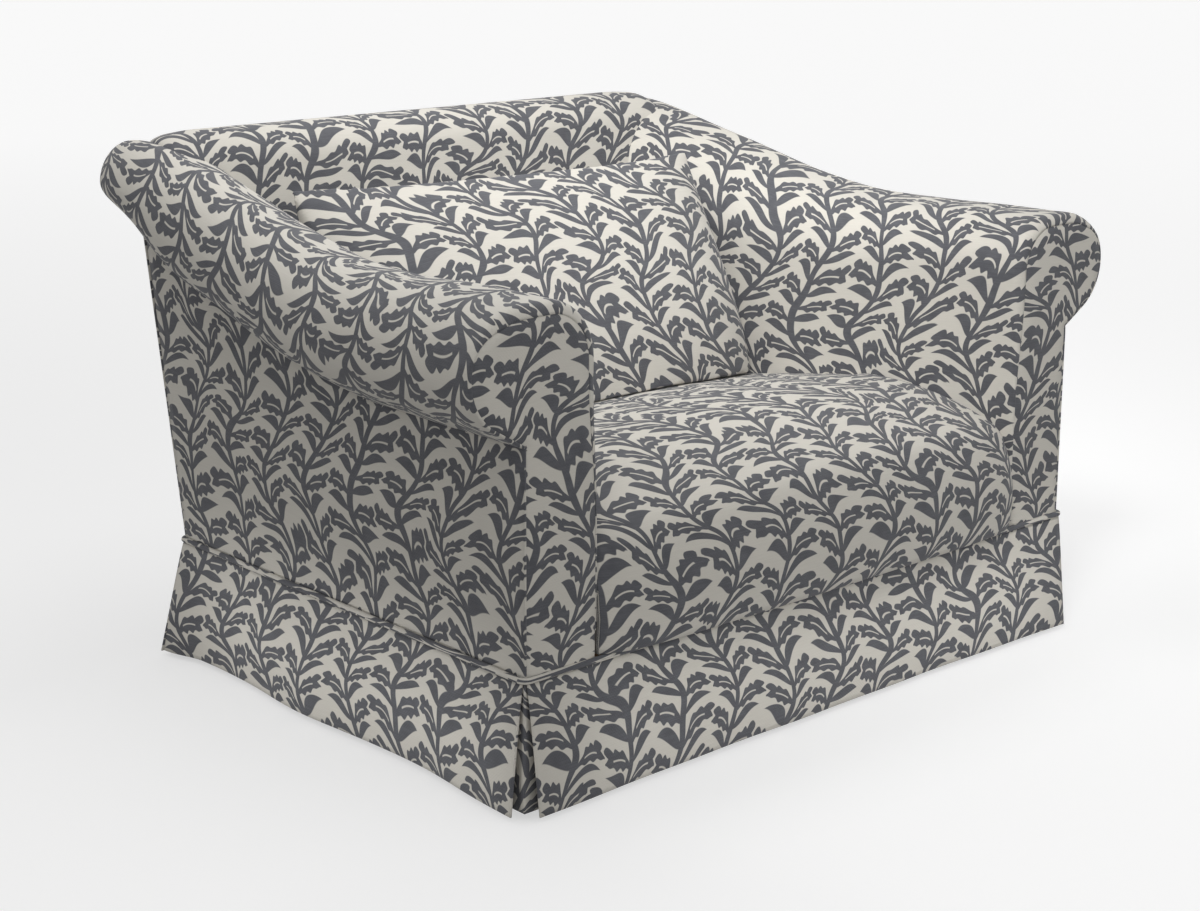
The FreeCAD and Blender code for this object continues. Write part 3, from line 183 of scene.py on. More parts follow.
# Seat: one over-stuffed form in printed linen, crowned across and rounded over the front border.
# The cloth is pulled tight over foam and tucked down beside the arms.
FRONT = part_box("arm_facing_left")[0].y
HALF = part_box("skirt_front")[1].x
DEPTH = 0.870
SLOPE = (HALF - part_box("skirt_back")[1].x) / DEPTH  # how far each side comes in per metre of depth
SQUARE = np.cos(np.arctan(SLOPE))
ARM_WIDTH = 0.134
LEAN = np.radians(17)
SEAT_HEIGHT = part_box("seat_cover")[1].z
SEAT_CROWN = 0.026
BULGE, END_BULGE, END_TUCK = 0.044, 0.030, 0.024
PITCH = np.radians(8)
NOSE, EDGE, TOP = 0.220, 0.060, 0.600  # radii of the section's arcs, from the front border to the top
NOSE_TURN, EDGE_TURN = np.radians(25), np.radians(68)
ARC_STEPS = 14
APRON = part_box("seat_cover")[0].z
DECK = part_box("seat_foam")[0].z + 0.03
SEAT_HALF = HALF - ARM_WIDTH / SQUARE
SEAT_LIP = 0.015
BACK_GAP, ARM_GAP = 0.002, 0.0006
SEAT_SINK, SINK_START, SINK_RUN = 0.005, 0.15, 0.15
SEAT_PRINT = 0.037
SEAT_HEART = (0.0, 0.0, 0.3)


def surface(name, points, print_map, inside, wrapped=False, capped=False):
    """A mesh from a grid of points; quads join neighbours and face away from the point `inside`.

    print_map holds the flat cloth's coordinates in metres. A wrapped grid closes its columns into a
    ring, for which print_map has one column more, and a capped one closes its first and last rows.
    """
    rows, columns = points.shape[:2]
    index = np.arange(rows * columns).reshape(rows, columns)
    ends = [index[0, ::-1], index[-1]]
    if wrapped:
        index = np.column_stack((index, index[:, :1]))
    low, high = slice(None, -1), slice(1, None)
    around = ((low, low), (low, high), (high, high), (high, low))
    quads = np.stack([index[at] for at in around], -1).reshape(-1, 4)
    drawn = np.stack([print_map[at] for at in around], -2).reshape(-1, 4, 2)
    flat = points.reshape(-1, 3)
    a, b, c, d = flat[quads].transpose(1, 0, 2)
    if (np.cross(c - a, d - b) * (a - np.array(inside))).sum() < 0:
        quads, drawn = quads[:, ::-1], drawn[:, ::-1]
        ends = [end[::-1] for end in ends]
    faces = quads.tolist()
    drawn = drawn.reshape(-1, 2)
    if capped:
        faces += [end.tolist() for end in ends]
        at_vertex = print_map[:, :columns].reshape(-1, 2)
        drawn = np.concatenate([drawn] + [at_vertex[end] for end in ends])
    mesh = bpy.data.meshes.new(name)
    mesh.from_pydata(flat.tolist(), [], faces)
    mesh.uv_layers.new(name="print").data.foreach_set("uv", drawn.astype(np.float32).ravel())
    mesh.polygons.foreach_set("use_smooth", np.ones(len(faces), bool))
    mesh.update()
    piece = bpy.data.objects.new(name, mesh)
    bpy.context.scene.collection.objects.link(piece)
    return piece


def lengths(points):
    """Distance walked along the columns of a grid, from its first column."""
    steps = np.linalg.norm(np.diff(points, axis=1), axis=2)
    return np.concatenate((np.zeros((len(points), 1)), np.cumsum(steps, axis=1)), axis=1)


# Printed linen: a plain weave in stone, block-printed with slate leaves on climbing stems.
# Matt, with a soft nap at grazing angles, slubs along the yarns and slightly uneven ink.
# The print's sizes are in millimetres of flat cloth.
STEM_PITCH, STEM_SWING, STEM_WAVE = 114.0, 33.0, 286.0
STEM_HALF, STEM_EDGE, STEM_DROP = 5.2, 0.93, 0.87
LEAF_SPACING, LOBE_TURN = 60.0, 0.415
VEIN_HALF, VEIN_START, VEIN_STOP = 1.2, 15.5, 41.5
DRIFT_SIZE, DRIFT = 96.0, 57.0
BLOTCH, SLUB_LENGTH, SLUB_WIDTH = 22.0, 40.0, 1.6
YARN = 2.6  # drawn about four times coarser than the cloth, to show in the render
YARN_RELIEF = 0.0004
INK_EDGE, INK_THIN, INK_FULL = 0.5, 0.15, 0.4
STONE, STONE_SHADE = "#d2cec5", "#c5c1b8"
SLATE, SLATE_SHADE = "#5d5e63", "#4f5055"
cloth, tree, shader = material("printed_linen", Roughness=0.9, Sheen_Weight=0.12, Sheen_Roughness=0.5)
at = add(tree, "ShaderNodeUVMap", uv_map="print")
flat_mm = add(tree, "ShaderNodeVectorMath", (at, (1000.0,) * 3), operation="MULTIPLY")
drift = add(tree, "ShaderNodeTexNoise", {"Vector": flat_mm, "Scale": 1 / DRIFT_SIZE, "Detail": 0.0})
shift = add(tree, "ShaderNodeVectorMath", (drift.outputs["Color"], (0.5,) * 3), operation="SUBTRACT")
wander = add(tree, "ShaderNodeVectorMath", (shift, (DRIFT,) * 3, flat_mm), operation="MULTIPLY_ADD")
drawn = add(tree, "ShaderNodeSeparateXYZ", (wander,))
turn = add(tree, MATH, (drawn.outputs["Y"], 2 * np.pi / STEM_WAVE), operation="MULTIPLY")
swing = add(tree, MATH, (turn,), operation="SINE")
lane = add(tree, MATH, (swing, -STEM_SWING, drawn.outputs["X"]), operation="MULTIPLY_ADD")
across = add(tree, MATH, (lane, STEM_PITCH / 2, -STEM_PITCH / 2), operation="WRAP")
reach = add(tree, MATH, (across,), operation="ABSOLUTE")
hand = add(tree, MATH, (across,), operation="SIGN")
stem_place = add(tree, MATH, (lane, across), operation="SUBTRACT")
dropped = add(tree, MATH, (stem_place, STEM_DROP, drawn.outputs["Y"]), operation="MULTIPLY_ADD")
climb = add(tree, MATH, (hand, LEAF_SPACING / 4, dropped), operation="MULTIPLY_ADD")


def blade(offset, axis, start, stop, width, power, lobes=0.0):
    """A leaf beside the stem: half width width*sin(pi*share**power) about an axis a + b*r + c*r*r.

    r is the distance from the stem. share runs from 0 where the leaf leaves the stem to 1 at its tip,
    and lobes ripple its edge. Gives how far inside the leaf a place is, and how far off its axis, in
    millimetres.
    """
    along = add(tree, MATH, (climb, offset), operation="ADD")
    place = add(tree, MATH, (along, LEAF_SPACING / 2, -LEAF_SPACING / 2), operation="WRAP")
    bend = add(tree, MATH, (reach, axis[2], axis[1]), operation="MULTIPLY_ADD")
    line = add(tree, MATH, (bend, reach, axis[0]), operation="MULTIPLY_ADD")
    off = add(tree, MATH, (add(tree, MATH, (place, line), operation="SUBTRACT"),), operation="ABSOLUTE")
    share = add(tree, "ShaderNodeMapRange", (reach, start, stop, 0.0, 1.0))
    skewed = add(tree, MATH, (share, power), operation="POWER")
    arch = add(tree, MATH, (add(tree, MATH, (skewed, np.pi), operation="MULTIPLY"),), operation="SINE")
    ripple = add(tree, MATH, (add(tree, MATH, (reach, LOBE_TURN), operation="MULTIPLY"),), operation="SINE")
    full = add(tree, MATH, (ripple, lobes, width), operation="MULTIPLY_ADD")
    half = add(tree, MATH, (arch, full, -INK_EDGE), operation="MULTIPLY_ADD")
    return add(tree, MATH, (half, off), operation="SUBTRACT"), off


leaf, off_vein = blade(0.0, (-20.7, 1.30, -0.0162), start=1.7, stop=60.5, width=13.6, power=0.85, lobes=2.3)
frond = blade(0.42 * LEAF_SPACING, (-20.7, 1.30, -0.0150), start=1.7, stop=52.0, width=9.4, power=0.70)[0]
bud = blade(0.76 * LEAF_SPACING, (-3.4, 0.10, 0.0), start=38.0, stop=59.0, width=8.0, power=0.9)[0]
stem = add(tree, MATH, (reach, -STEM_EDGE, STEM_HALF), operation="MULTIPLY_ADD")
vein = add(tree, MATH, (off_vein, VEIN_HALF), operation="SUBTRACT")
vein_start = add(tree, MATH, (VEIN_START, reach), operation="SUBTRACT")
vein_stop = add(tree, MATH, (reach, VEIN_STOP), operation="SUBTRACT")
vein_ends = add(tree, MATH, (vein_start, vein_stop), operation="MAXIMUM")
bare = add(tree, MATH, (vein, vein_ends), operation="MAXIMUM")
leaves = add(tree, MATH, (leaf, frond), operation="MAXIMUM")
sprigs = add(tree, MATH, (bud, stem), operation="MAXIMUM")
inked = add(tree, MATH, (leaves, sprigs), operation="MAXIMUM")
veined = add(tree, MATH, (inked, bare), operation="MINIMUM")
ink = add(tree, "ShaderNodeMapRange", (veined, -INK_EDGE, INK_EDGE, 0.0, 1.0))
blotches = {"Vector": flat_mm, "Scale": 1 / BLOTCH, "Detail": 4.0, "Roughness": 0.6}
blotch = add(tree, "ShaderNodeTexNoise", blotches)
slub_pace = (1 / SLUB_LENGTH, 1 / SLUB_WIDTH, 1.0)
slub_way = add(tree, "ShaderNodeVectorMath", (flat_mm, slub_pace), operation="MULTIPLY")
slub = add(tree, "ShaderNodeTexNoise", {"Vector": slub_way, "Scale": 1.0, "Detail": 2.0})
uneven = add(tree, MATH, (blotch, slub), operation="MULTIPLY")
ground = add(tree, "ShaderNodeMix", {0: slub, 6: linear(STONE), 7: linear(STONE_SHADE)}, data_type="RGBA")
pigment = add(tree, "ShaderNodeMapRange", (uneven, INK_THIN, INK_FULL, 0.0, 1.0))
slate = add(tree, "ShaderNodeMix", {0: pigment, 6: linear(SLATE_SHADE), 7: linear(SLATE)}, data_type="RGBA")
colour = add(tree, "ShaderNodeMix", {0: ink, 6: ground.outputs[2], 7: slate.outputs[2]}, data_type="RGBA")
yarns = add(tree, "ShaderNodeVectorMath", (flat_mm, (np.pi / YARN,) * 3), operation="MULTIPLY")
waves = add(tree, "ShaderNodeVectorMath", (yarns,), operation="SINE")
crossing = add(tree, "ShaderNodeSeparateXYZ", (waves,))
weave = add(tree, MATH, (crossing.outputs["X"], crossing.outputs["Y"], slub), operation="MULTIPLY_ADD")
relief = add(tree, "ShaderNodeBump", {"Height": weave, "Distance": YARN_RELIEF, "Strength": 0.25})
tree.links.new(colour.outputs[2], shader.inputs["Base Color"])
tree.links.new(relief.outputs[0], shader.inputs["Normal"])


def upholster(piece, *nodes, body="chair"):
    """Cover a piece in the printed linen and let it stand for nodes of the frame."""
    piece.data.materials.append(cloth)
    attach(piece, body)
    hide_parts(*nodes)


def seat_arcs(x):
    """Centres (depth, height) of the front, edge and top arcs of the seat at a place across."""
    crown = np.clip(1 - (x / SEAT_HALF) ** 2, 0, 1)
    bulge = END_BULGE + (BULGE - END_BULGE) * crown - END_TUCK * np.abs(x / SEAT_HALF) ** 12
    rise = (NOSE - EDGE) * np.sin(NOSE_TURN) + (EDGE - TOP) * np.sin(EDGE_TURN) + TOP
    nose = FRONT - bulge + NOSE, SEAT_HEIGHT - SEAT_CROWN * (1 - crown) - rise
    edge = nose[0] - (NOSE - EDGE) * np.cos(NOSE_TURN), nose[1] + (NOSE - EDGE) * np.sin(NOSE_TURN)
    top = edge[0] - (EDGE - TOP) * np.cos(EDGE_TURN), edge[1] + (EDGE - TOP) * np.sin(EDGE_TURN)
    return nose, edge, top


def seat_top(x, y):
    """Height of the sloping rear part of the seat: a line at the pitch, tangent to the top arc."""
    centre = seat_arcs(x)[2]
    start = centre[0] + TOP * np.sin(PITCH)
    return centre[1] + TOP * np.cos(PITCH) - (y - start) * np.tan(PITCH)


# The back that the seat runs up to: its crest is an arc, and it leans in front and is raked behind.
CREST = 0.074
RAKE = np.radians(11.4)
SKIRT_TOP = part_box("skirt_front")[1].z
REAR = FRONT + DEPTH
CREST_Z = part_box("inside_back_cover")[1].z - CREST
CREST_Y = REAR + (CREST_Z - SKIRT_TOP) * np.tan(RAKE) - CREST / np.cos(RAKE)


def back_face(z):
    """Depth of the leaning inner face of the back at a height."""
    return CREST_Y - CREST / np.cos(LEAN) + (z - CREST_Z) * np.tan(LEAN)


def seat_section(x):
    """Closed section: up the nose arc, over the edge and top arcs, down the slope, and back under."""
    nose, edge, top = seat_arcs(x[:, :1])
    start = np.arcsin((APRON - nose[1]) / NOSE)
    share = np.linspace(0, 1, ARC_STEPS + 1)
    runs = []
    for centre, radius, first, last in ((nose, NOSE, start, NOSE_TURN), (edge, EDGE, NOSE_TURN, EDGE_TURN),
                                        (top, TOP, EDGE_TURN, np.pi / 2 + PITCH)):
        turn = first + (last - first) * share[:-1]
        runs.append(np.stack((centre[0] - radius * np.cos(turn), centre[1] + radius * np.sin(turn)), -1))
    slope_y = top[0] + TOP * np.sin(PITCH)
    high = seat_top(x[:, :1], slope_y)
    stop = (back_face(high) - BACK_GAP - slope_y) / (1 + np.tan(PITCH) * np.tan(LEAN))
    run = stop * share
    runs.append(np.stack((slope_y + run, high - run * np.tan(PITCH)), -1))
    foot = np.broadcast_to(back_face(DECK) - BACK_GAP, x[:, :1].shape)
    inner = np.full_like(foot, FRONT + SEAT_LIP)
    for y, z in ((foot, DECK), (inner, DECK), (inner, APRON)):
        runs.append(np.stack((y, np.full_like(y, z)), -1))
    return np.concatenate(runs, axis=1)


def soft_step(share):
    """0 below 0, 1 above 1, smooth between."""
    share = np.clip(share, 0, 1)
    return share * share * (3 - 2 * share)


share = np.sin(np.linspace(-np.pi / 2, np.pi / 2, 121))
section = seat_section(share[:, None] * SEAT_HALF)
for settle in range(2):
    wide = SEAT_HALF - (section[..., 0] - FRONT) * SLOPE - ARM_GAP
    x = share[:, None] * wide
    section = seat_section(x)
# The slope of the top sinks a little where it is tucked down beside the arms; three points lie under it.
top_run = section[:, 3 * ARC_STEPS - 2:-3]
tucked = np.abs(share[:, None]) ** 14 * soft_step((top_run[..., 0] - FRONT - SINK_START) / SINK_RUN)
top_run[..., 1] -= SEAT_SINK * tucked
points = np.concatenate((x[..., None], section), axis=2)
around = lengths(np.concatenate((points, points[:, :1]), axis=1))
print_map = np.stack((np.concatenate((x, x[:, :1]), axis=1) + SEAT_PRINT, around), -1)
seat = surface("seat_upholstery", points, print_map, SEAT_HEART, wrapped=True, capped=True)
upholster(seat, "seat_cover", "seat_foam")

# Arms: scroll arms padded and covered in one piece from the seat over the roll to the crease.
# The cloth turns a soft edge at the front, where it is sewn to the facing, and sweeps up to the back.
ROLL = 0.086
ROLL_Z = 0.612
CREASE_DROP = 0.101
SHOULDER = ARM_WIDTH - ROLL
ROLL_END = 1.5 * np.pi - np.arccos(ROLL / CREASE_DROP)
ARM_FOOT = 0.235
ARM_RISE = 0.130
RISE_START, RISE_BEND, CREST_BEND = 0.285, 1.020, 0.500
RISE_ANGLE = np.radians(14.85)
HEAD_EDGE, FOOT_EDGE, SIDE_EDGE = 0.017, 0.004, 0.004  # how far the front edge is rounded
EDGE_LOW, EDGE_HIGH = 0.40, 0.60
ROLL_SPREAD, FRONT_SPREAD, SPREAD_LENGTH = 1.04, 0.05, 0.6  # how much wider than round the roll is
REAR_ROUND, REAR_INSET, SIDE_INSET, REAR_GAP = 0.100, 0.013, 0.027, 0.003
UNDER_ROUND, UNDER_INSET, CREASE_LIFT = 0.200, 0.045, 0.030
SIDE_FROM, SIDE_TO, UNDER_TO = np.radians((108.0, 162.0, 210.6))  # turns round the roll
TOP_TILT, TILT_START, TILT_STOP, TILT_EDGE = 0.052, 0.08, 0.72, 0.02
EASE, EASE_ALONG, EASE_ROUND, EASE_SKEW = 0.0009, 0.041, 0.057, 0.09
EVEN_RUN = 0.9
ARM_WALL = 0.009
ARM_PRINT = np.array((0.05, 0.11))
ARM_HEART = np.array((-0.53, 0.0, 0.62))


def arm_rise(along):
    """Height gained along the arm: level, an arc up, a straight climb and an arc back to level."""
    sine, cosine = np.sin(RISE_ANGLE), np.cos(RISE_ANGLE)
    straight = (ARM_RISE - (RISE_BEND + CREST_BEND) * (1 - cosine)) / np.tan(RISE_ANGLE)
    climb_start = RISE_START + RISE_BEND * sine
    level = climb_start + straight + CREST_BEND * sine
    low = RISE_BEND - np.sqrt(RISE_BEND ** 2 - np.clip(along - RISE_START, 0, RISE_BEND * sine) ** 2)
    climb = np.clip(along - climb_start, 0, straight) * np.tan(RISE_ANGLE)
    high = np.sqrt(CREST_BEND ** 2 - np.clip(level - along, 0, CREST_BEND * sine) ** 2) - CREST_BEND * cosine
    return low + climb + high


def top_tilt(inward):
    """How far the arm's top has sunk at the back: a power of the way from the crown to the inner face."""
    return TOP_TILT * np.clip((inward + TILT_EDGE) / (ARM_WIDTH + TILT_EDGE), 0, 1) ** 1.3


def from_arm(inward, depth, height):
    """Points of the left arm from places inward of its side plane and behind the front plane."""
    return np.stack((inward / SQUARE + depth * SLOPE - HALF, FRONT + depth, height), -1)


def rear_plane(height):
    """Depth of the raked rear plane behind the front plane."""
    return DEPTH + (height - SKIRT_TOP) * np.tan(RAKE)


def edge_radius(height):
    """How far the arm's front edge is rounded: little beside the seat, more round the scroll."""
    return FOOT_EDGE + (HEAD_EDGE - FOOT_EDGE) * soft_step((height - EDGE_LOW) / (EDGE_HIGH - EDGE_LOW))


def thicken(piece, name, thickness):
    """Give a piece a second skin, behind its own at the distance given."""
    wall = piece.modifiers.new(name, "SOLIDIFY")
    wall.thickness = thickness
    wall.offset = -1


# The section runs up the inner face, round the shoulder, over the crown and roll, and in to the crease.
inner = np.linspace(0, 1, 22)[:-1]
over_shoulder = np.linspace(0, np.pi / 2, 17)
over_roll = np.linspace(np.pi / 2, ROLL_END, 49)
under = np.linspace(0, 1, 9)[1:]
turn = np.concatenate((inner * 0, over_shoulder, over_roll, np.full(len(under), ROLL_END)))
roll_start = len(inner) + len(over_shoulder)
centre = np.where(np.arange(len(turn)) < roll_start, SHOULDER, 0.0)
normal = np.stack((np.cos(turn), np.sin(turn)), -1)
outline = np.stack((centre, np.full_like(centre, ROLL_Z)), -1) + ROLL * normal
crease = np.array((0.0, ROLL_Z - CREASE_DROP))
outline[-len(under):] += under[:, None] * (crease - outline[-1])
outline[:, 0] *= np.where(outline[:, 0] < 0, ROLL_SPREAD, 1.0)
drop = np.concatenate((1 - inner, np.zeros(len(turn) - len(inner))))
walked = lengths(np.stack((outline[:, 0], outline[:, 1] - drop * (ROLL_Z - ARM_FOOT)), -1)[None])[0]
edge = np.where(drop > 0, edge_radius(ARM_FOOT + (1 - drop) * (ROLL_Z - ARM_FOOT)), HEAD_EDGE)
edge += (SIDE_EDGE - HEAD_EDGE) * soft_step((turn - SIDE_FROM) / (SIDE_TO - SIDE_FROM))
bend = np.radians(np.linspace(0, 90, 8))[:, None]
slowing = EVEN_RUN + (1 - EVEN_RUN) * np.sin(np.linspace(0, np.pi / 2, 17))
run = np.concatenate((np.linspace(0, EVEN_RUN, 76)[1:], slowing[1:]))[:, None]
stop = rear_plane(outline[:, 1] + ARM_RISE - drop * (ROLL_Z + ARM_RISE - ARM_FOOT)) - REAR_GAP
depth = np.concatenate((edge * (1 - np.cos(bend)), edge + run * (stop - edge)))
# Toward the rear the roll is gathered in: its crown a little, its side more and its underside most.
gather_way = normal.copy()
gather_way[-len(under):] += under[:, None] * ((0, -CREASE_LIFT / UNDER_INSET) - normal[-len(under):])
from_rear = stop - depth[len(bend):]
gather = np.clip(1 - from_rear / REAR_ROUND, 0, 1)
rounded = REAR_INSET + (SIDE_INSET - REAR_INSET) * soft_step((turn - np.pi / 2) / (np.pi / 2))
pulled = rounded * (1 - np.sqrt(1 - gather ** 2)) * soft_step(turn / (np.pi / 2))
to_crease = np.concatenate((np.zeros(len(turn) - len(under)), under))
underside = np.clip(1 - from_rear / UNDER_ROUND, 0, 1) ** 1.5
underside = UNDER_INSET * (underside + (gather ** 2 - underside) * to_crease)
pulled += (underside - pulled) * soft_step((turn - SIDE_TO) / (UNDER_TO - SIDE_TO))
ease = EASE * np.sin(depth / EASE_ALONG + 1) * np.sin(walked / EASE_ROUND + depth / EASE_SKEW)
place = outline + ease[..., None] * normal
place[:len(bend)] -= (edge * (1 - np.sin(bend)))[..., None] * normal
place[len(bend):] -= pulled[..., None] * gather_way
place[..., 0] *= 1 + FRONT_SPREAD * np.clip(1 - depth / SPREAD_LENGTH, 0, 1) * (place[..., 0] < 0)
high = place[..., 1] + arm_rise(depth / SQUARE + place[..., 0] * SLOPE)
# Toward the rear the top slopes down to the inner side as well.
tilted = soft_step((depth - TILT_START) / (TILT_STOP - TILT_START)) * (turn < np.pi)
high -= tilted * top_tilt(place[..., 0])
high = high - drop * (high - ARM_FOOT)
points = from_arm(place[..., 0], depth, high)
rim = points[-1]
front_rim = np.stack((place[0, :, 0], high[0]), -1)
printed = np.concatenate((edge * (bend - np.pi / 2 + 1), depth[len(bend):]))
print_map = np.stack((printed, np.broadcast_to(walked, depth.shape)), -1) + ARM_PRINT
for side, sign in SIDES:
    mirror = (sign, 1, 1)
    arm = surface(f"arm_upholstery_{side}", points * mirror, print_map, ARM_HEART * mirror)
    thicken(arm, "padding", ARM_WALL)
    upholster(arm, f"arm_cover_{side}", f"arm_padding_{side}")

# Facings: boards cut to the scroll, thinly padded and covered in linen, sewn in by hand round the head.
# Each fills the front rim of its arm and is a little pillowed, with a sunk seam at its edge.
FACING_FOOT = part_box("arm_facing_left")[0].z
FACING_INSET = 0.002
FACING_WALL = 0.010
FACING_SWELL, SWELL_EDGE, SEAM_SINK = 0.0040, 0.02, 0.0010
FACING_PRINT = 0.02
FACING_HEART = np.array((-0.54, 0.0, 0.4))
head = ROLL - HEAD_EDGE
up_head = ROLL_Z + head * np.sin(np.radians(np.linspace(-90, 90, 60)))
rows = np.concatenate((np.linspace(FACING_FOOT, ROLL_Z - head, 40)[:-1], up_head))
up_inside, up_roll = front_rim[:roll_start], front_rim[roll_start:][::-1]
outer = np.minimum(np.interp(rows, up_roll[:, 1], up_roll[:, 0]), FACING_INSET)
outer = np.where(rows < up_roll[0, 1], FACING_INSET, outer)
inner_edge = np.interp(rows, up_inside[:, 1], up_inside[:, 0])
columns = 0.5 - 0.5 * np.cos(np.linspace(0, np.pi, 31))
inward = outer[:, None] + (inner_edge - outer)[:, None] * columns
from_side = np.minimum(inward - outer[:, None], inner_edge[:, None] - inward)
from_edge = np.minimum(from_side, (ROLL_Z + head - rows)[:, None])
swell = FACING_SWELL * soft_step(from_edge / SWELL_EDGE) ** 0.6 - SEAM_SINK
high = np.broadcast_to(rows[:, None], inward.shape)
points = from_arm(inward, -swell, high)
print_map = np.stack((inward + FACING_PRINT, high), -1)
for side, sign in SIDES:
    mirror = (sign, 1, 1)
    facing = surface(f"arm_facing_cover_{side}", points * mirror, print_map, FACING_HEART * mirror)
    thicken(facing, "padding", FACING_WALL)
    upholster(facing, f"arm_facing_{side}")

# Inside back: linen over wadding, drawn up the leaning face, over the round crest and down behind it.
# It meets each arm in a seam on the arm's sloping top, and its ends drop and curl down to the roll.
BACK_FOOT = 0.245
END_START, END_STOP, END_DROP = 0.45, 0.57, 0.008
END_CURL, CURL_WIDTH = 0.016, 0.030
CREST_SINK, CREST_LOW, CREST_RUN = 0.003, 0.70, 0.06
SEAM_DEPTH, CROWN_LAP, JOIN_LAP = 0.012, 0.006, 0.002
SEAM_INWARD = 0.1
PULL, PULL_ACROSS, PULL_UP, PULL_SKEW = 0.00108, 0.05, 0.06, 0.11
BACK_WALL = 0.009
BACK_PRINT = np.array((0.061, 0.04))
lean_run = np.linspace(0, 1, 46)[:-1]
over_crest = np.linspace(np.pi - LEAN, -RAKE, 44)
turn = np.concatenate((np.full(len(lean_run), np.pi - LEAN), over_crest, np.full(2, -RAKE)))
y = CREST_Y + CREST * np.cos(turn)
z = CREST_Z + CREST * np.sin(turn)
fall = (z[0] - BACK_FOOT) / np.cos(LEAN) * (1 - lean_run)
y[:len(lean_run)] -= fall * np.sin(LEAN)
z[:len(lean_run)] -= fall * np.cos(LEAN)
join = ROLL_Z + ARM_RISE + JOIN_LAP
tail = (z[-1] - join) / np.cos(RAKE) * np.array((0.5, 1.0))
y[-2:] -= tail * np.sin(RAKE)
z[-2:] -= tail * np.cos(RAKE)
depth = y - FRONT
sunk = ROLL_Z + ROLL + arm_rise(depth / SQUARE + SEAM_INWARD * SLOPE) - z
inward = np.linspace(0, ARM_WIDTH, 60)
arm_top = ROLL - np.sqrt(ROLL ** 2 - np.clip(inward - SHOULDER, 0, ROLL) ** 2) + top_tilt(inward)
met = np.where(sunk > 0, np.interp(sunk, arm_top, inward) - SEAM_DEPTH, 0)
met = np.maximum(met, -CROWN_LAP) - CROWN_LAP * (sunk <= 0)
wide = HALF - met / SQUARE - depth * SLOPE
share = np.sin(np.linspace(-np.pi / 2, np.pi / 2, 121))[:, None]
x = share * wide
on_crest = soft_step((z - CREST_LOW) / CREST_RUN)
drop = CREST_SINK + END_DROP * soft_step((np.abs(x) - END_START) / (END_STOP - END_START))
curl = np.clip((np.abs(x) - wide) / CURL_WIDTH + 1, 0, 1)
drop = (drop + END_CURL * (1 - np.sqrt(1 - curl ** 2))) * on_crest
pull = PULL * np.sin(x / PULL_ACROSS) * np.sin(z / PULL_UP + x / PULL_SKEW)
points = np.stack((x, y - pull, z - drop), -1)
walked = lengths(np.stack((y, z), -1)[None])[0]
print_map = np.stack((x, np.broadcast_to(walked, x.shape)), -1) + BACK_PRINT
back = surface("inside_back_upholstery", points, print_map, (0, CREST_Y, CREST_Z))
thicken(back, "padding", BACK_WALL)
upholster(back, "inside_back_cover", "back_padding")

# Outside arms and outside back: flat linen stretched over card and frame, slip-stitched at the edges.
# The outside back has an ear at each top corner that closes the end of the arm's roll.
OUTSIDE_FOOT = SKIRT_TOP - 0.004
COVER = 0.003
RAKE_GAP = 0.001
CREASE_LAP, SIDE_GAP, REAR_REACH = 0.010, 0.0015, 0.10
RUMPLE, RUMPLE_ALONG, RUMPLE_UP = 0.0012, 0.07, 0.08
EDGE_TUCK, TUCK_START = 0.006, 0.96
OUTSIDE_PRINT = 0.09
CHAIR_HEART = (0.0, 0.0, 0.4)
crease_lap = ROLL_Z - CREASE_DROP + CREASE_LAP
share = np.linspace(0, 1, 61)[:, None]
climb = np.linspace(0, 1, 31)
depth = share * (DEPTH + REAR_REACH)
high = OUTSIDE_FOOT + climb * (crease_lap + arm_rise(depth / SQUARE) - OUTSIDE_FOOT)
depth = share * (rear_plane(high) - SIDE_GAP)
gather = np.clip((depth - rear_plane(high) + REAR_ROUND) / REAR_ROUND, 0, 1)
top = crease_lap + arm_rise(depth / SQUARE) + CREASE_LIFT * gather ** 2
high = OUTSIDE_FOOT + climb * (top - OUTSIDE_FOOT)
slack = RUMPLE * np.sin(depth / RUMPLE_ALONG) * np.sin(high / RUMPLE_UP + 1) * np.sin(np.pi * climb)
tuck = EDGE_TUCK * soft_step((climb - TUCK_START) / (1 - TUCK_START))
points = from_arm(slack + tuck, depth, high)
print_map = np.stack((depth + OUTSIDE_PRINT, high), -1)
for side, sign in SIDES:
    panel = surface(f"outside_arm_{side}", points * (sign, 1, 1), print_map, CHAIR_HEART)
    thicken(panel, "cloth", COVER)
    upholster(panel, f"outside_arm_cover_{side}")


def raked(x, rows):
    """Points and print of cloth on the raked rear plane, from places across and heights of the rows."""
    high = np.broadcast_to(rows[:, None], x.shape)
    points = np.stack((x, FRONT + rear_plane(high) + RAKE_GAP, high), -1)
    return points, np.stack((-x + BACK_SHIFT, high / np.cos(RAKE)), -1)


BACK_SHIFT = 0.03
CREASE_LOW, CREASE_HIGH = 0.636, 0.638
rows = np.concatenate((np.linspace(OUTSIDE_FOOT, CREASE_LOW, 30), np.linspace(CREASE_HIGH, join, 24)))
roll_rim, shoulder_rim = rim[roll_start:][::-1], rim[len(inner):roll_start]
at_side = from_arm(0 * rows, rear_plane(rows) + RAKE_GAP, rows)[:, 0]
at_roll = np.interp(rows, roll_rim[:, 2], roll_rim[:, 0])
half = np.where(rows < roll_rim[0, 2], at_side, at_roll)
points, print_map = raked(half[:, None] * np.linspace(1, -1, 81), rows)
outside_back = surface("outside_back", points, print_map, CHAIR_HEART)
thicken(outside_back, "cloth", COVER)
upholster(outside_back, "outside_back_cover")

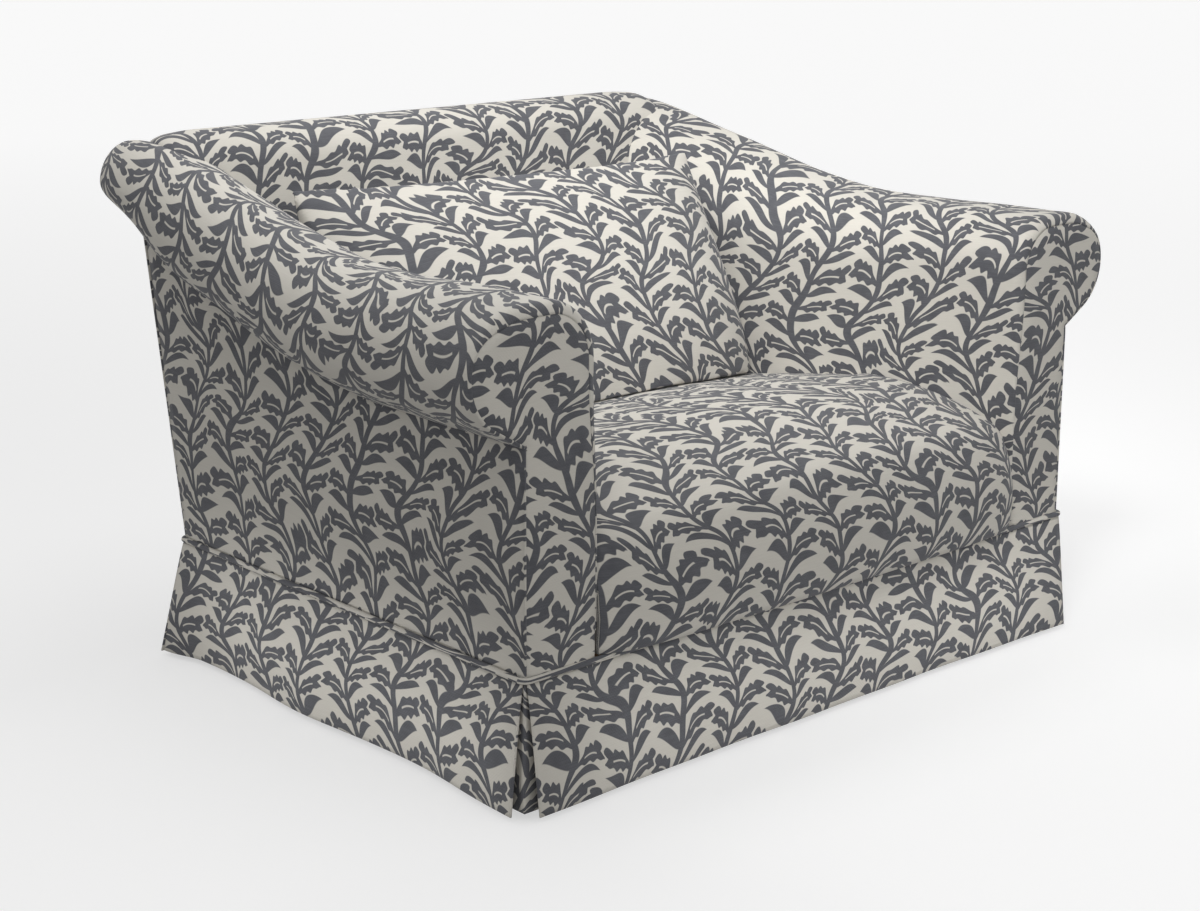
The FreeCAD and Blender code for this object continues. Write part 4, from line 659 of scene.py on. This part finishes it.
EAR_GAP = 0.0005
EAR_HEART = (0.0, 0.0, 0.7)
rows = join + (rim[:, 2].max() - EAR_GAP - join) * np.sin(np.radians(np.linspace(0, 90, 24)))
outer = np.interp(rows, roll_rim[:, 2], roll_rim[:, 0])
inner_edge = np.interp(rows, shoulder_rim[:, 2], shoulder_rim[:, 0])
points, print_map = raked(outer[:, None] + (inner_edge - outer)[:, None] * np.linspace(0, 1, 25), rows)
for side, sign in SIDES:
    ear = surface(f"outside_back_ear_{side}", points * (sign, 1, 1), print_map * (sign, 1), EAR_HEART)
    thicken(ear, "cloth", COVER)
    upholster(ear)

# Skirt: four hemmed panels of lined linen that hang from a piped seam and flare a little to the corners.
# An inverted pleat backs each corner, so that the panels open without showing the leg.
SKIRT_OUT = 0.0059
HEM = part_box("skirt_front")[0].z
FRONT_FLARE, FRONT_END = 0.015, 0.022
BACK_FLARE, BACK_END = 0.022, 0.028
SIDE_FLARE, SIDE_END = 0.010, 0.006
SIDE_WAVE, WAVE_PLACE, WAVE_LENGTH = 0.006, 0.56, 0.53
CORNER_FLARE, CORNER_START = 0.034, 0.9
RIPPLE, RIPPLE_LENGTH, RIPPLE_BEAT = 0.0015, 0.05, 0.13
OPENING = 0.002
SKIRT_CLOTH = 0.0026
SKIRT_SHIFT = 0.08
SKIRT_HEART = (0.0, 0.0, 0.1)
down = np.linspace(0, 1, 25)
share = np.linspace(0, 1, 121)[:, None]


def hanging(length, flare, first, last):
    """Along, out and height of a panel; its hem stands out by flare, with its ends moved by first and last.

    It leaves the seam as a power of the way down, with a ripple of two sines that grows toward the hem.
    """
    along = first * down + share * (length + (last - first) * down)
    ripple = RIPPLE * down ** 2 * np.sin(along / RIPPLE_LENGTH) * np.sin(along / RIPPLE_BEAT + 1)
    out = SKIRT_OUT + flare * down ** 0.9 + ripple
    height = np.broadcast_to(SKIRT_TOP - down * (SKIRT_TOP - HEM), along.shape)
    return along, out, height


side_length = DEPTH / SQUARE
sine = SLOPE * SQUARE
rear_half = HALF - DEPTH * SLOPE
panels = {}
ends = np.abs(2 * share - 1)
flare = FRONT_FLARE + (FRONT_END - FRONT_FLARE) * ends ** 3
along, out, high = hanging(2 * HALF, flare, OPENING, -OPENING)
panels["front"] = np.stack((along - HALF, FRONT - out, high), -1), along
flare = BACK_FLARE + (BACK_END - BACK_FLARE) * ends ** 6
along, out, high = hanging(2 * rear_half, flare, -CORNER_FLARE, CORNER_FLARE)
panels["back"] = np.stack((along - rear_half, REAR + out, high), -1), along
wave = SIDE_WAVE * np.cos(2 * np.pi * (share - WAVE_PLACE) / WAVE_LENGTH)
flare = SIDE_FLARE + SIDE_END * ends ** 8 + wave
flare += (CORNER_FLARE - SKIRT_OUT - flare) * soft_step((share - CORNER_START) / (1 - CORNER_START))
along, out, high = hanging(side_length, flare, -OPENING, CORNER_FLARE)
left = np.stack((along * sine - out * SQUARE - HALF, FRONT + along * SQUARE + out * sine, high), -1)
panels["left"] = left, along
panels["right"] = left * (-1, 1, 1), along
for name, (points, along) in panels.items():
    print_map = np.stack((along + SKIRT_SHIFT, points[..., 2]), -1)
    skirt = surface(f"skirt_{name}_panel", points, print_map, SKIRT_HEART)
    thicken(skirt, "cloth", SKIRT_CLOTH)
    upholster(skirt, f"skirt_{name}")

# Each pleat's insert is folded round its corner, a little behind the panels.
PLEAT_ARM, PLEAT_LAP, PLEAT_DROP = 0.062, 0.03, 0.18
PLEAT_OUT, PLEAT_SETBACK = 0.0023, 0.015
PLEAT_HEM, PLEAT_TOP = 0.012, SKIRT_TOP - 0.001
PLEAT_CLOTH = 0.0018
bent = np.linspace(-1, 1, 41)
drop = np.linspace(0, 1, 21)[:, None]


def pleat(corner, first, second, flare):
    """An insert along two directions from a corner: it stands out with the flare, less the setback."""
    first, second = np.array(first), np.array(second)
    out = PLEAT_OUT + (flare - PLEAT_SETBACK) * drop
    one = np.where(bent < 0, np.abs(bent), 0) * (PLEAT_ARM + out)
    two = np.where(bent > 0, np.abs(bent), 0) * (PLEAT_ARM + out)
    ground = np.array(corner) - out[..., None] * (first + second)
    ground = ground + one[..., None] * first + two[..., None] * second
    high = np.broadcast_to(PLEAT_TOP - drop * (SKIRT_TOP - PLEAT_HEM), one.shape)
    return np.concatenate((ground, high[..., None]), axis=2)


inserts = {
    "front": pleat((-HALF, FRONT), (1, 0), (sine, SQUARE), FRONT_END),
    "rear": pleat((-rear_half, REAR), (1, 0), (-sine, -SQUARE), FRONT_END),
}
print_map = np.stack(np.broadcast_arrays(bent * PLEAT_ARM, -drop * PLEAT_DROP), -1)
for name, points in inserts.items():
    for side, sign in SIDES:
        insert = surface(f"corner_pleat_{name}_{side}", points * (sign, 1, 1), print_map, SKIRT_HEART)
        thicken(insert, "cloth", PLEAT_CLOTH)
        upholster(insert, "corner_pleats")
        flat = 2 * PLEAT_ARM + PLEAT_LAP, PLEAT_DROP

# Piping: a soft cotton cord wrapped in bias-cut linen.
# It is sewn into the seam round the whole body, just above the skirt.
PIPE = 0.0045
PIPE_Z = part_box("skirt_piping")[1].z - PIPE
PIPE_GAP, PIPE_REAR_GAP, PIPE_BEND = 0.0003, 0.0012, 0.010
PIPE_SWELL, SWELL_LENGTH, SWELL_BEAT = 0.02, 0.021, 0.034
BIAS_ACROSS, BIAS_UP = 0.35, 0.2
PIPE_WELD = 0.00002
pipe_rear = FRONT + rear_plane(PIPE_Z) + PIPE + PIPE_REAR_GAP
pipe_front = FRONT - PIPE - PIPE_GAP
pipe_side = HALF + (PIPE + PIPE_GAP) / SQUARE
front_half = pipe_side - (pipe_front - FRONT) * SLOPE - PIPE_BEND
rear_wide = pipe_side - (pipe_rear - FRONT) * SLOPE - PIPE_BEND
bend_front, bend_rear = pipe_front + PIPE_BEND, pipe_rear - PIPE_BEND
quarter = np.radians(np.linspace(0, 90, 9))
corner_arcs = []
for x, y, start in ((-front_half, bend_front, 180), (front_half, bend_front, 270),
                    (rear_wide, bend_rear, 0), (-rear_wide, bend_rear, 90)):
    spin = np.radians(start) + quarter
    corner_arcs.append(np.stack((x + PIPE_BEND * np.cos(spin), y + PIPE_BEND * np.sin(spin)), -1))
path = []
for first, second in zip(corner_arcs, corner_arcs[1:] + corner_arcs[:1]):
    path.append(first)
    path.append(first[-1] + np.linspace(0, 1, 62)[1:-1, None] * (second[0] - first[-1]))
path = np.concatenate(path)
path = np.concatenate((path, path[:1]))
ahead = np.roll(path[:-1], -1, axis=0) - np.roll(path[:-1], 1, axis=0)
ahead = np.concatenate((ahead, ahead[:1]))
ahead /= np.linalg.norm(ahead, axis=1)[:, None]
spin = np.linspace(0, 2 * np.pi, 15)[:-1]
sideways = np.stack((ahead[:, 1], -ahead[:, 0]), -1)
walk = np.concatenate(((0.0,), np.cumsum(np.linalg.norm(np.diff(path, axis=0), axis=1))))
girth = PIPE * (1 + PIPE_SWELL * np.sin(walk / SWELL_LENGTH) * np.sin(walk / SWELL_BEAT))
girth[-1] = girth[0]
ring = path[:, None] + girth[:, None, None] * np.cos(spin)[:, None] * sideways[:, None]
rise = PIPE_Z + girth[:, None] * np.sin(spin)
tube = np.concatenate((ring, rise[..., None]), axis=2)
bias = np.stack((walk[:, None] * BIAS_ACROSS + spin * PIPE, walk[:, None] * BIAS_UP - spin * PIPE), -1)
tube = np.concatenate((tube, tube[:, :1]), axis=1)
bias = np.concatenate((bias, bias[:, :1] + 2 * np.pi * PIPE * np.array((1, -1))), axis=1)
piping = surface("skirt_piping_cord", tube, bias, (0, 0, PIPE_Z))
weld = piping.modifiers.new("closed", "WELD")
weld.merge_threshold = PIPE_WELD
upholster(piping, "skirt_piping")

# Dust cover: black spun-bonded cloth that keeps the filling's dust off the floor.
# It is stapled under the rails, cut back round the legs, and sags a little between.
DUST_CLOTH, DUST_SAG = 0.0008, 0.006
CUT_BACK = 0.155
DIMPLE, DIMPLE_DEPTH = 0.002, 0.0003
low, high_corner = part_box("dust_cover")
share = np.linspace(0, 1, 41)[:, None]
y = low.y + share * (high_corner.y - low.y)
front_wide = high_corner.x
rear_narrow = front_wide - (high_corner.y - low.y) * SLOPE
cut = np.minimum(np.minimum(y - low.y, high_corner.y - y) / CUT_BACK, 1.0)
half = front_wide - (front_wide - rear_narrow) * share - CUT_BACK * (1 - cut)
across = np.linspace(-1, 1, 51)
x = half * across
sag = DUST_SAG * np.sin(np.pi * share) * np.cos(np.pi / 2 * across)
points = np.stack((x, np.broadcast_to(y, x.shape), high_corner.z - sag), -1)
dust = surface("dust_cover_cloth", points, points[..., :2], (0, 0, 1))
thicken(dust, "cloth", DUST_CLOTH)
# Spun-bonded polypropylene: dull black with a dimpled bond pattern.
spun, tree, shader = material("spunbond_polypropylene", Roughness=0.8)
place = add(tree, "ShaderNodeTexCoord")
dimple = add(tree, "ShaderNodeTexVoronoi", {"Vector": place.outputs["Object"], "Scale": 1 / DIMPLE})
tint = add(tree, "ShaderNodeMix", {0: dimple, 6: linear("#1d1d1f"), 7: linear("#2c2c2f")}, data_type="RGBA")
relief = add(tree, "ShaderNodeBump", {"Height": dimple, "Distance": DIMPLE_DEPTH, "Strength": 0.5})
tree.links.new(tint.outputs[2], shader.inputs["Base Color"])
tree.links.new(relief.outputs[0], shader.inputs["Normal"])
dust.data.materials.append(spun)
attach(dust, "chair")
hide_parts("dust_cover")

# Back cushion: a loose knife-edged pillow of fibre in a zipped linen cover, which only lies on the chair.
# It rests on the seat and leans on the back; its corners stand out as ears where the seams cross.
COVER_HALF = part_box("back_cushion_cover")[1].x
CUSHION_HALF = COVER_HALF - 0.003
CUSHION_PLACE = REAR - 0.318
CUSHION_HEIGHT, CUSHION_SEAT, CUSHION_FRONT = 0.349, 0.130, 0.058
CUSHION_LEAN, CUSHION_EARS, CORNER_TUCK = 0.110, 0.009, 0.075
SIDE_BOW, SIDE_SEAT = 0.010, 0.010
SEAM_SWELL, SLACK, SWELL_CAP = 0.004, 0.010, 0.026
LEAST_FULL, BACK_SHARE = 0.03, 0.42
SEAT_TOUCH, BACK_ROOM, CONTACT = 0.001, 0.003, 0.002
VOXEL = 0.006
SEWN_BAND, SEAT_BAND = 0.011, 0.004
BLOW_FORCE, BLOW_STEPS = 4.0, 20
CUSHION_PRINT = np.array((0.091, 0.05))
CUSHION_HEART = (0.0, CUSHION_PLACE, 0.6)
share = np.sin(np.linspace(-np.pi / 2, np.pi / 2, 61))[:, None]
x = share * CUSHION_HALF
fullness = np.sqrt(np.clip(1 - share ** 4, LEAST_FULL, None))
flat = SIDE_SEAT + (CUSHION_SEAT - SIDE_SEAT) * fullness
rest = np.stack((np.full_like(x, CUSHION_PLACE), seat_top(x, CUSHION_PLACE) + SEAT_TOUCH), -1)
front = np.stack((CUSHION_PLACE - flat, seat_top(x, CUSHION_PLACE - flat) + SEAT_TOUCH), -1)
tip_low = seat_top(0.0, CUSHION_PLACE)


def seam_line(share):
    """Depth and height of the top seam: its ends rise as ears, and its left end is tucked into the corner."""
    ear = CUSHION_EARS * share ** 4
    tuck = CORNER_TUCK * ((1 - share) / 2) ** 1.6
    return np.stack((CUSHION_PLACE + CUSHION_LEAN + ear + tuck, tip_low + CUSHION_HEIGHT + ear), -1)


tip = seam_line(share)


def bowed(start, end, swell, steps):
    """A bow from start to end: the chord plus swell*(1 - |2t - 1|**2.4) along its left normal."""
    t = np.linspace(0, 1, steps)[:-1, None]
    chord = end - start
    left = np.stack((-chord[..., 1], chord[..., 0]), -1) / np.linalg.norm(chord, axis=2)[..., None]
    return start + chord * t + left * (swell[..., None] * (1 - np.abs(2 * t - 1) ** 2.4))


middle = (rest + tip) / 2
room = (back_face(middle[..., 1]) - middle[..., 0]) * np.cos(LEAN) - BACK_ROOM
back_full = np.minimum(room, BACK_SHARE * np.linalg.norm(tip - rest, axis=2))
front_swell = SEAM_SWELL + (CUSHION_FRONT - SLACK) * fullness
back_swell = SEAM_SWELL + (back_full - SEAM_SWELL - SLACK) * fullness
section = np.concatenate((bowed(front, tip, front_swell, 41), bowed(tip, rest, back_swell, 41),
                          bowed(rest, front, 0 * x, 13)), axis=1)
# The sides are drawn in a little between the corners.
up_side = np.clip((section[..., 1] - rest[..., 1]) / (tip[..., 1] - rest[..., 1]), 0, 1)
x = x - SIDE_BOW * share ** 5 * np.sin(np.pi * up_side)
points = np.concatenate((x[..., None], section), axis=2)
print_map = np.zeros((len(points), points.shape[1] + 1, 2))
cushion = surface("back_cushion", points, print_map, CUSHION_HEART, wrapped=True, capped=True)


def evaluated(piece):
    """A new mesh of a piece with its modifiers applied."""
    return bpy.data.meshes.new_from_object(piece.evaluated_get(bpy.context.evaluated_depsgraph_get()))


def swap_mesh(piece, mesh):
    """Give a piece its finished mesh and clear its modifiers."""
    piece.modifiers.clear()
    piece.data = mesh


def places(mesh):
    """The mesh's points as rows."""
    rows = np.zeros(len(mesh.vertices) * 3)
    mesh.vertices.foreach_get("co", rows)
    return rows.reshape(-1, 3)


even = cushion.modifiers.new("even", "REMESH")
even.mode = "VOXEL"
even.voxel_size = VOXEL
swap_mesh(cushion, evaluated(cushion))
start = places(cushion.data)
# Air pressure swells the cover as cloth, held along its seams and where it stands on the seat.
sewn = cushion.vertex_groups.new(name="sewn")
seam = seam_line(np.clip(start[:, 0] / COVER_HALF, -1, 1))
off_top = np.linalg.norm(start[:, 1:] - seam, axis=1)
side_up = np.clip((start[:, 2] - tip_low) / CUSHION_HEIGHT, 0, 1)
off_side = CUSHION_HALF - SIDE_BOW * np.sin(np.pi * side_up) - np.abs(start[:, 0])
at_seam = np.minimum(off_top, off_side) < SEWN_BAND
on_seat = start[:, 2] < seat_top(start[:, 0], start[:, 1]) + SEAT_BAND
sewn.add(np.flatnonzero(at_seam | on_seat).tolist(), 1.0, "REPLACE")
blow = cushion.modifiers.new("blow", "CLOTH")
blow.settings.use_pressure = True
blow.settings.uniform_pressure_force = BLOW_FORCE
blow.settings.vertex_group_mass = "sewn"
blow.settings.effector_weights.gravity = 0.0
blow.point_cache.frame_start = 1
blow.point_cache.frame_end = BLOW_STEPS
for step in range(1, BLOW_STEPS + 1):
    bpy.context.scene.frame_set(step)
swollen = evaluated(cushion)
moved = places(swollen) - start
far = np.linalg.norm(moved, axis=1)[:, None]
finished = start + moved * np.minimum(1, SWELL_CAP / np.maximum(far, 1e-9))
swap_mesh(cushion, swollen)
cushion.data.vertices.foreach_set("co", finished.astype(np.float32).ravel())
bpy.context.scene.frame_set(1)
mesh = cushion.data
at = places(mesh)
# It is flattened where it lies against the back, the arms and the seat.
at[:, 1] = np.minimum(at[:, 1], back_face(at[:, 2]) - CONTACT)
between = SEAT_HALF - (at[:, 1] - FRONT) * SLOPE - CONTACT
at[:, 0] = np.clip(at[:, 0], -between, between)
at[:, 2] = np.maximum(at[:, 2], seat_top(at[:, 0], at[:, 1]) + SEAT_TOUCH)
# The cover is drawn in along the zip, so that the tape lies in a shallow valley with its teeth uncovered.
ZIP_TEETH, ZIP_DEPTH = 0.0006, 0.0024
VALLEY_HALF, VALLEY_SLOPE = 0.034, 0.026
VALLEY_PAST, PAST_SLOPE = 0.030, 0.024
VALLEY_REACH = 0.05
chain = places(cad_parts["cushion_zip_tape"].data)
chain_middle = (chain.max(0) + chain.min(0)) / 2
zip_out = np.linalg.svd(chain - chain.mean(0), full_matrices=False)[2][2]
zip_out *= np.sign(zip_out @ (chain_middle - at.mean(0)))
zip_level = (chain @ zip_out).max() - ZIP_TEETH - ZIP_DEPTH
zip_up = np.cross(zip_out, (1.0, 0.0, 0.0))
beside = np.abs((at - chain_middle) @ zip_up)
beyond = np.abs(at[:, 0] - chain_middle[0]) - np.ptp(chain[:, 0]) / 2
near = soft_step((VALLEY_HALF - beside) / VALLEY_SLOPE) * soft_step((VALLEY_PAST - beyond) / PAST_SLOPE)
near *= np.abs((at - chain_middle) @ zip_out) < VALLEY_REACH
at += (near * (zip_level - at @ zip_out))[:, None] * zip_out
mesh.vertices.foreach_set("co", at.astype(np.float32).ravel())
up = np.array((CUSHION_LEAN + CUSHION_SEAT, CUSHION_HEIGHT))
up /= np.linalg.norm(up)
flat_map = np.stack((at[:, 0], at[:, 1:] @ up), -1) + CUSHION_PRINT
corner_vertex = np.zeros(len(mesh.loops), np.int32)
mesh.loops.foreach_get("vertex_index", corner_vertex)
layer = mesh.uv_layers.get("print") or mesh.uv_layers.new(name="print")
layer.data.foreach_set("uv", flat_map[corner_vertex].astype(np.float32).ravel())
mesh.polygons.foreach_set("use_smooth", np.ones(len(mesh.polygons), bool))
mesh.materials.clear()
smooth = cushion.modifiers.new("smooth", "SUBSURF")
smooth.levels = smooth.render_levels = 1
upholster(cushion, "back_cushion_cover", "back_cushion_filling", body="back_cushion")

# Zip: a woven polyester tape with teeth, sewn in low on the back of the cushion.
# A small cast slider, plated with nickel, runs along it and closes it.
TAPE_YARN = 0.0012
SLIDER_RUB = 1 / 600
# Woven polyester: fine, matt and nearly the colour of the linen.
dress(woven("polyester_zip_tape", "#bdb6a8", "#a9a294", TAPE_YARN), "cushion_zip_tape")
# Nickel-plated zinc: smooth and bright, dulled where fingers rub it.
nickel = mottled("nickel_plated_zinc", "#c4c1b8", "#9c988e", SLIDER_RUB, 2.0, Metallic=1.0, Roughness=0.28)
dress(nickel, "zip_slider")

# Studio: a wide paper floor under an even sky, lit by a softbox overhead, a fill in front and a gridded key.
# Two low strips light the skirt's hem. The camera sees the floor as nearly white; to the chair it is grey.
FLOOR_HALF = 30.0
FADE_HALF = 0.9
FADE_NEAR, FADE_FAR = 0.5, 7.0
SKY_LIGHT, SKY_SEEN = 0.58, 0.94
CAMERA_YAW, CAMERA_TILT, CAMERA_ROLL = 0.7815, 0.2454, 0.005
floor_mesh = bpy.data.meshes.new("floor")
floor_corners = FLOOR_HALF * np.array(((-1, -1, 0), (1, -1, 0), (1, 1, 0), (-1, 1, 0)))
floor_mesh.from_pydata(floor_corners.tolist(), [], [(0, 1, 2, 3)])
floor = bpy.data.objects.new("floor", floor_mesh)
bpy.context.scene.collection.objects.link(floor)
# White paper: matt, grey to the chair; the camera sees a painted glow on it, a little darker on the left of
# the picture and paler toward the back, where the light falls unevenly.
paper, tree, shader = material("white_paper", Roughness=1.0, Base_Color=linear("#bcbcbc"))
place = add(tree, "ShaderNodeTexCoord").outputs["Object"]
picture_right = (np.cos(CAMERA_YAW), -np.sin(CAMERA_YAW), 0.0)
picture_back = (np.sin(CAMERA_YAW), np.cos(CAMERA_YAW), 0.0)
sideways = add(tree, "ShaderNodeVectorMath", (place, picture_right), operation="DOT_PRODUCT").outputs["Value"]
# Painted light: the glow's grading across and away stands in for the fall of light on the floor.
fade = add(tree, "ShaderNodeMapRange", (sideways, -FADE_HALF, FADE_HALF, 0.0, 1.0))
near_glow = add(tree, "ShaderNodeMix", {0: fade, 6: linear("#bebebe"), 7: linear("#cbcbcb")}, data_type="RGBA")
away = add(tree, "ShaderNodeVectorMath", (place, picture_back), operation="DOT_PRODUCT").outputs["Value"]
behind = add(tree, "ShaderNodeMapRange", (away, FADE_NEAR, FADE_FAR, 0.0, 1.0))
glow = add(tree, "ShaderNodeMix", {0: behind, 6: near_glow.outputs[2], 7: linear("#d2d2d2")}, data_type="RGBA")


def looked_at(tree):
    """1 for a ray that sees a surface, directly or in a reflection or glass, and 0 for one that lights it."""
    ray = add(tree, "ShaderNodeLightPath").outputs
    direct = add(tree, MATH, (ray["Is Camera Ray"], ray["Is Glossy Ray"]), operation="ADD")
    return add(tree, MATH, (direct, ray["Is Transmission Ray"]), operation="ADD")


tree.links.new(glow.outputs[2], shader.inputs["Emission Color"])
tree.links.new(looked_at(tree).outputs[0], shader.inputs["Emission Strength"])
floor_mesh.materials.append(paper)

world = bpy.data.worlds.new("studio")
bpy.context.scene.world = world
world.use_nodes = True
sky = world.node_tree.nodes["Background"]
sky.inputs["Color"].default_value = linear("#f4f4f4")
seen = looked_at(world.node_tree)
shown = add(world.node_tree, MATH, (seen, SKY_SEEN - SKY_LIGHT, SKY_LIGHT), operation="MULTIPLY_ADD")
world.node_tree.links.new(shown.outputs[0], sky.inputs["Strength"])


def lamp(name, place, target, width, height, watts, spread=np.pi):
    """A soft lamp that looks at a target and is not itself in the picture."""
    light = bpy.data.lights.new(name, "AREA")
    light.shape = "RECTANGLE"
    light.size, light.size_y, light.energy, light.spread = width, height, watts, spread
    held = bpy.data.objects.new(name, light)
    held.visible_camera = False
    aim = Vector(target) - Vector(place)
    held.matrix_world = Matrix.Translation(place) @ aim.to_track_quat("-Z", "Y").to_matrix().to_4x4()
    bpy.context.scene.collection.objects.link(held)


lamp("overhead_softbox", (-0.25, 0.2, 1.6), (-0.25, 0.2, 0.4), 1.1, 0.7, 6.0)
lamp("front_fill", (-0.2, -3.2, 1.6), (0.0, 0.0, 0.4), 1.6, 1.6, 6.6)
lamp("gridded_key", (-1.5, -1.3, 2.6), (0.45, 0.0, 0.6), 0.7, 0.7, 2.9, spread=0.6)
lamp("low_strip_front", (0.1, -1.45, 0.08), (0.05, -0.5, 0.08), 1.1, 0.12, 0.24, spread=0.4)
lamp("low_strip_left", (-1.55, -0.1, 0.08), (-0.6, -0.05, 0.08), 0.8, 0.12, 0.22, spread=0.4)

# Camera: in front of the chair's left corner and a little above it, as fitted to the photograph.
# The picture is shown without a film curve.
CAMERA_PLACE = Vector((-2.6567, -2.6841, 1.2571))
CAMERA_LENS, CAMERA_FILM = 72.04, 36.0
camera = bpy.data.objects.new("camera", bpy.data.cameras.new("camera"))
camera.data.lens = CAMERA_LENS
camera.data.sensor_width = CAMERA_FILM
level = Vector(picture_right)
ahead = Vector(picture_back) * np.cos(CAMERA_TILT) - Vector((0.0, 0.0, np.sin(CAMERA_TILT)))
above = level.cross(ahead)
right = level * np.cos(CAMERA_ROLL) + above * np.sin(CAMERA_ROLL)
above = above * np.cos(CAMERA_ROLL) - level * np.sin(CAMERA_ROLL)
camera.matrix_world = Matrix.Translation(CAMERA_PLACE) @ Matrix((right, above, -ahead)).transposed().to_4x4()
bpy.context.scene.collection.objects.link(camera)
bpy.context.scene.camera = camera
bpy.context.scene.view_settings.view_transform = "Standard"
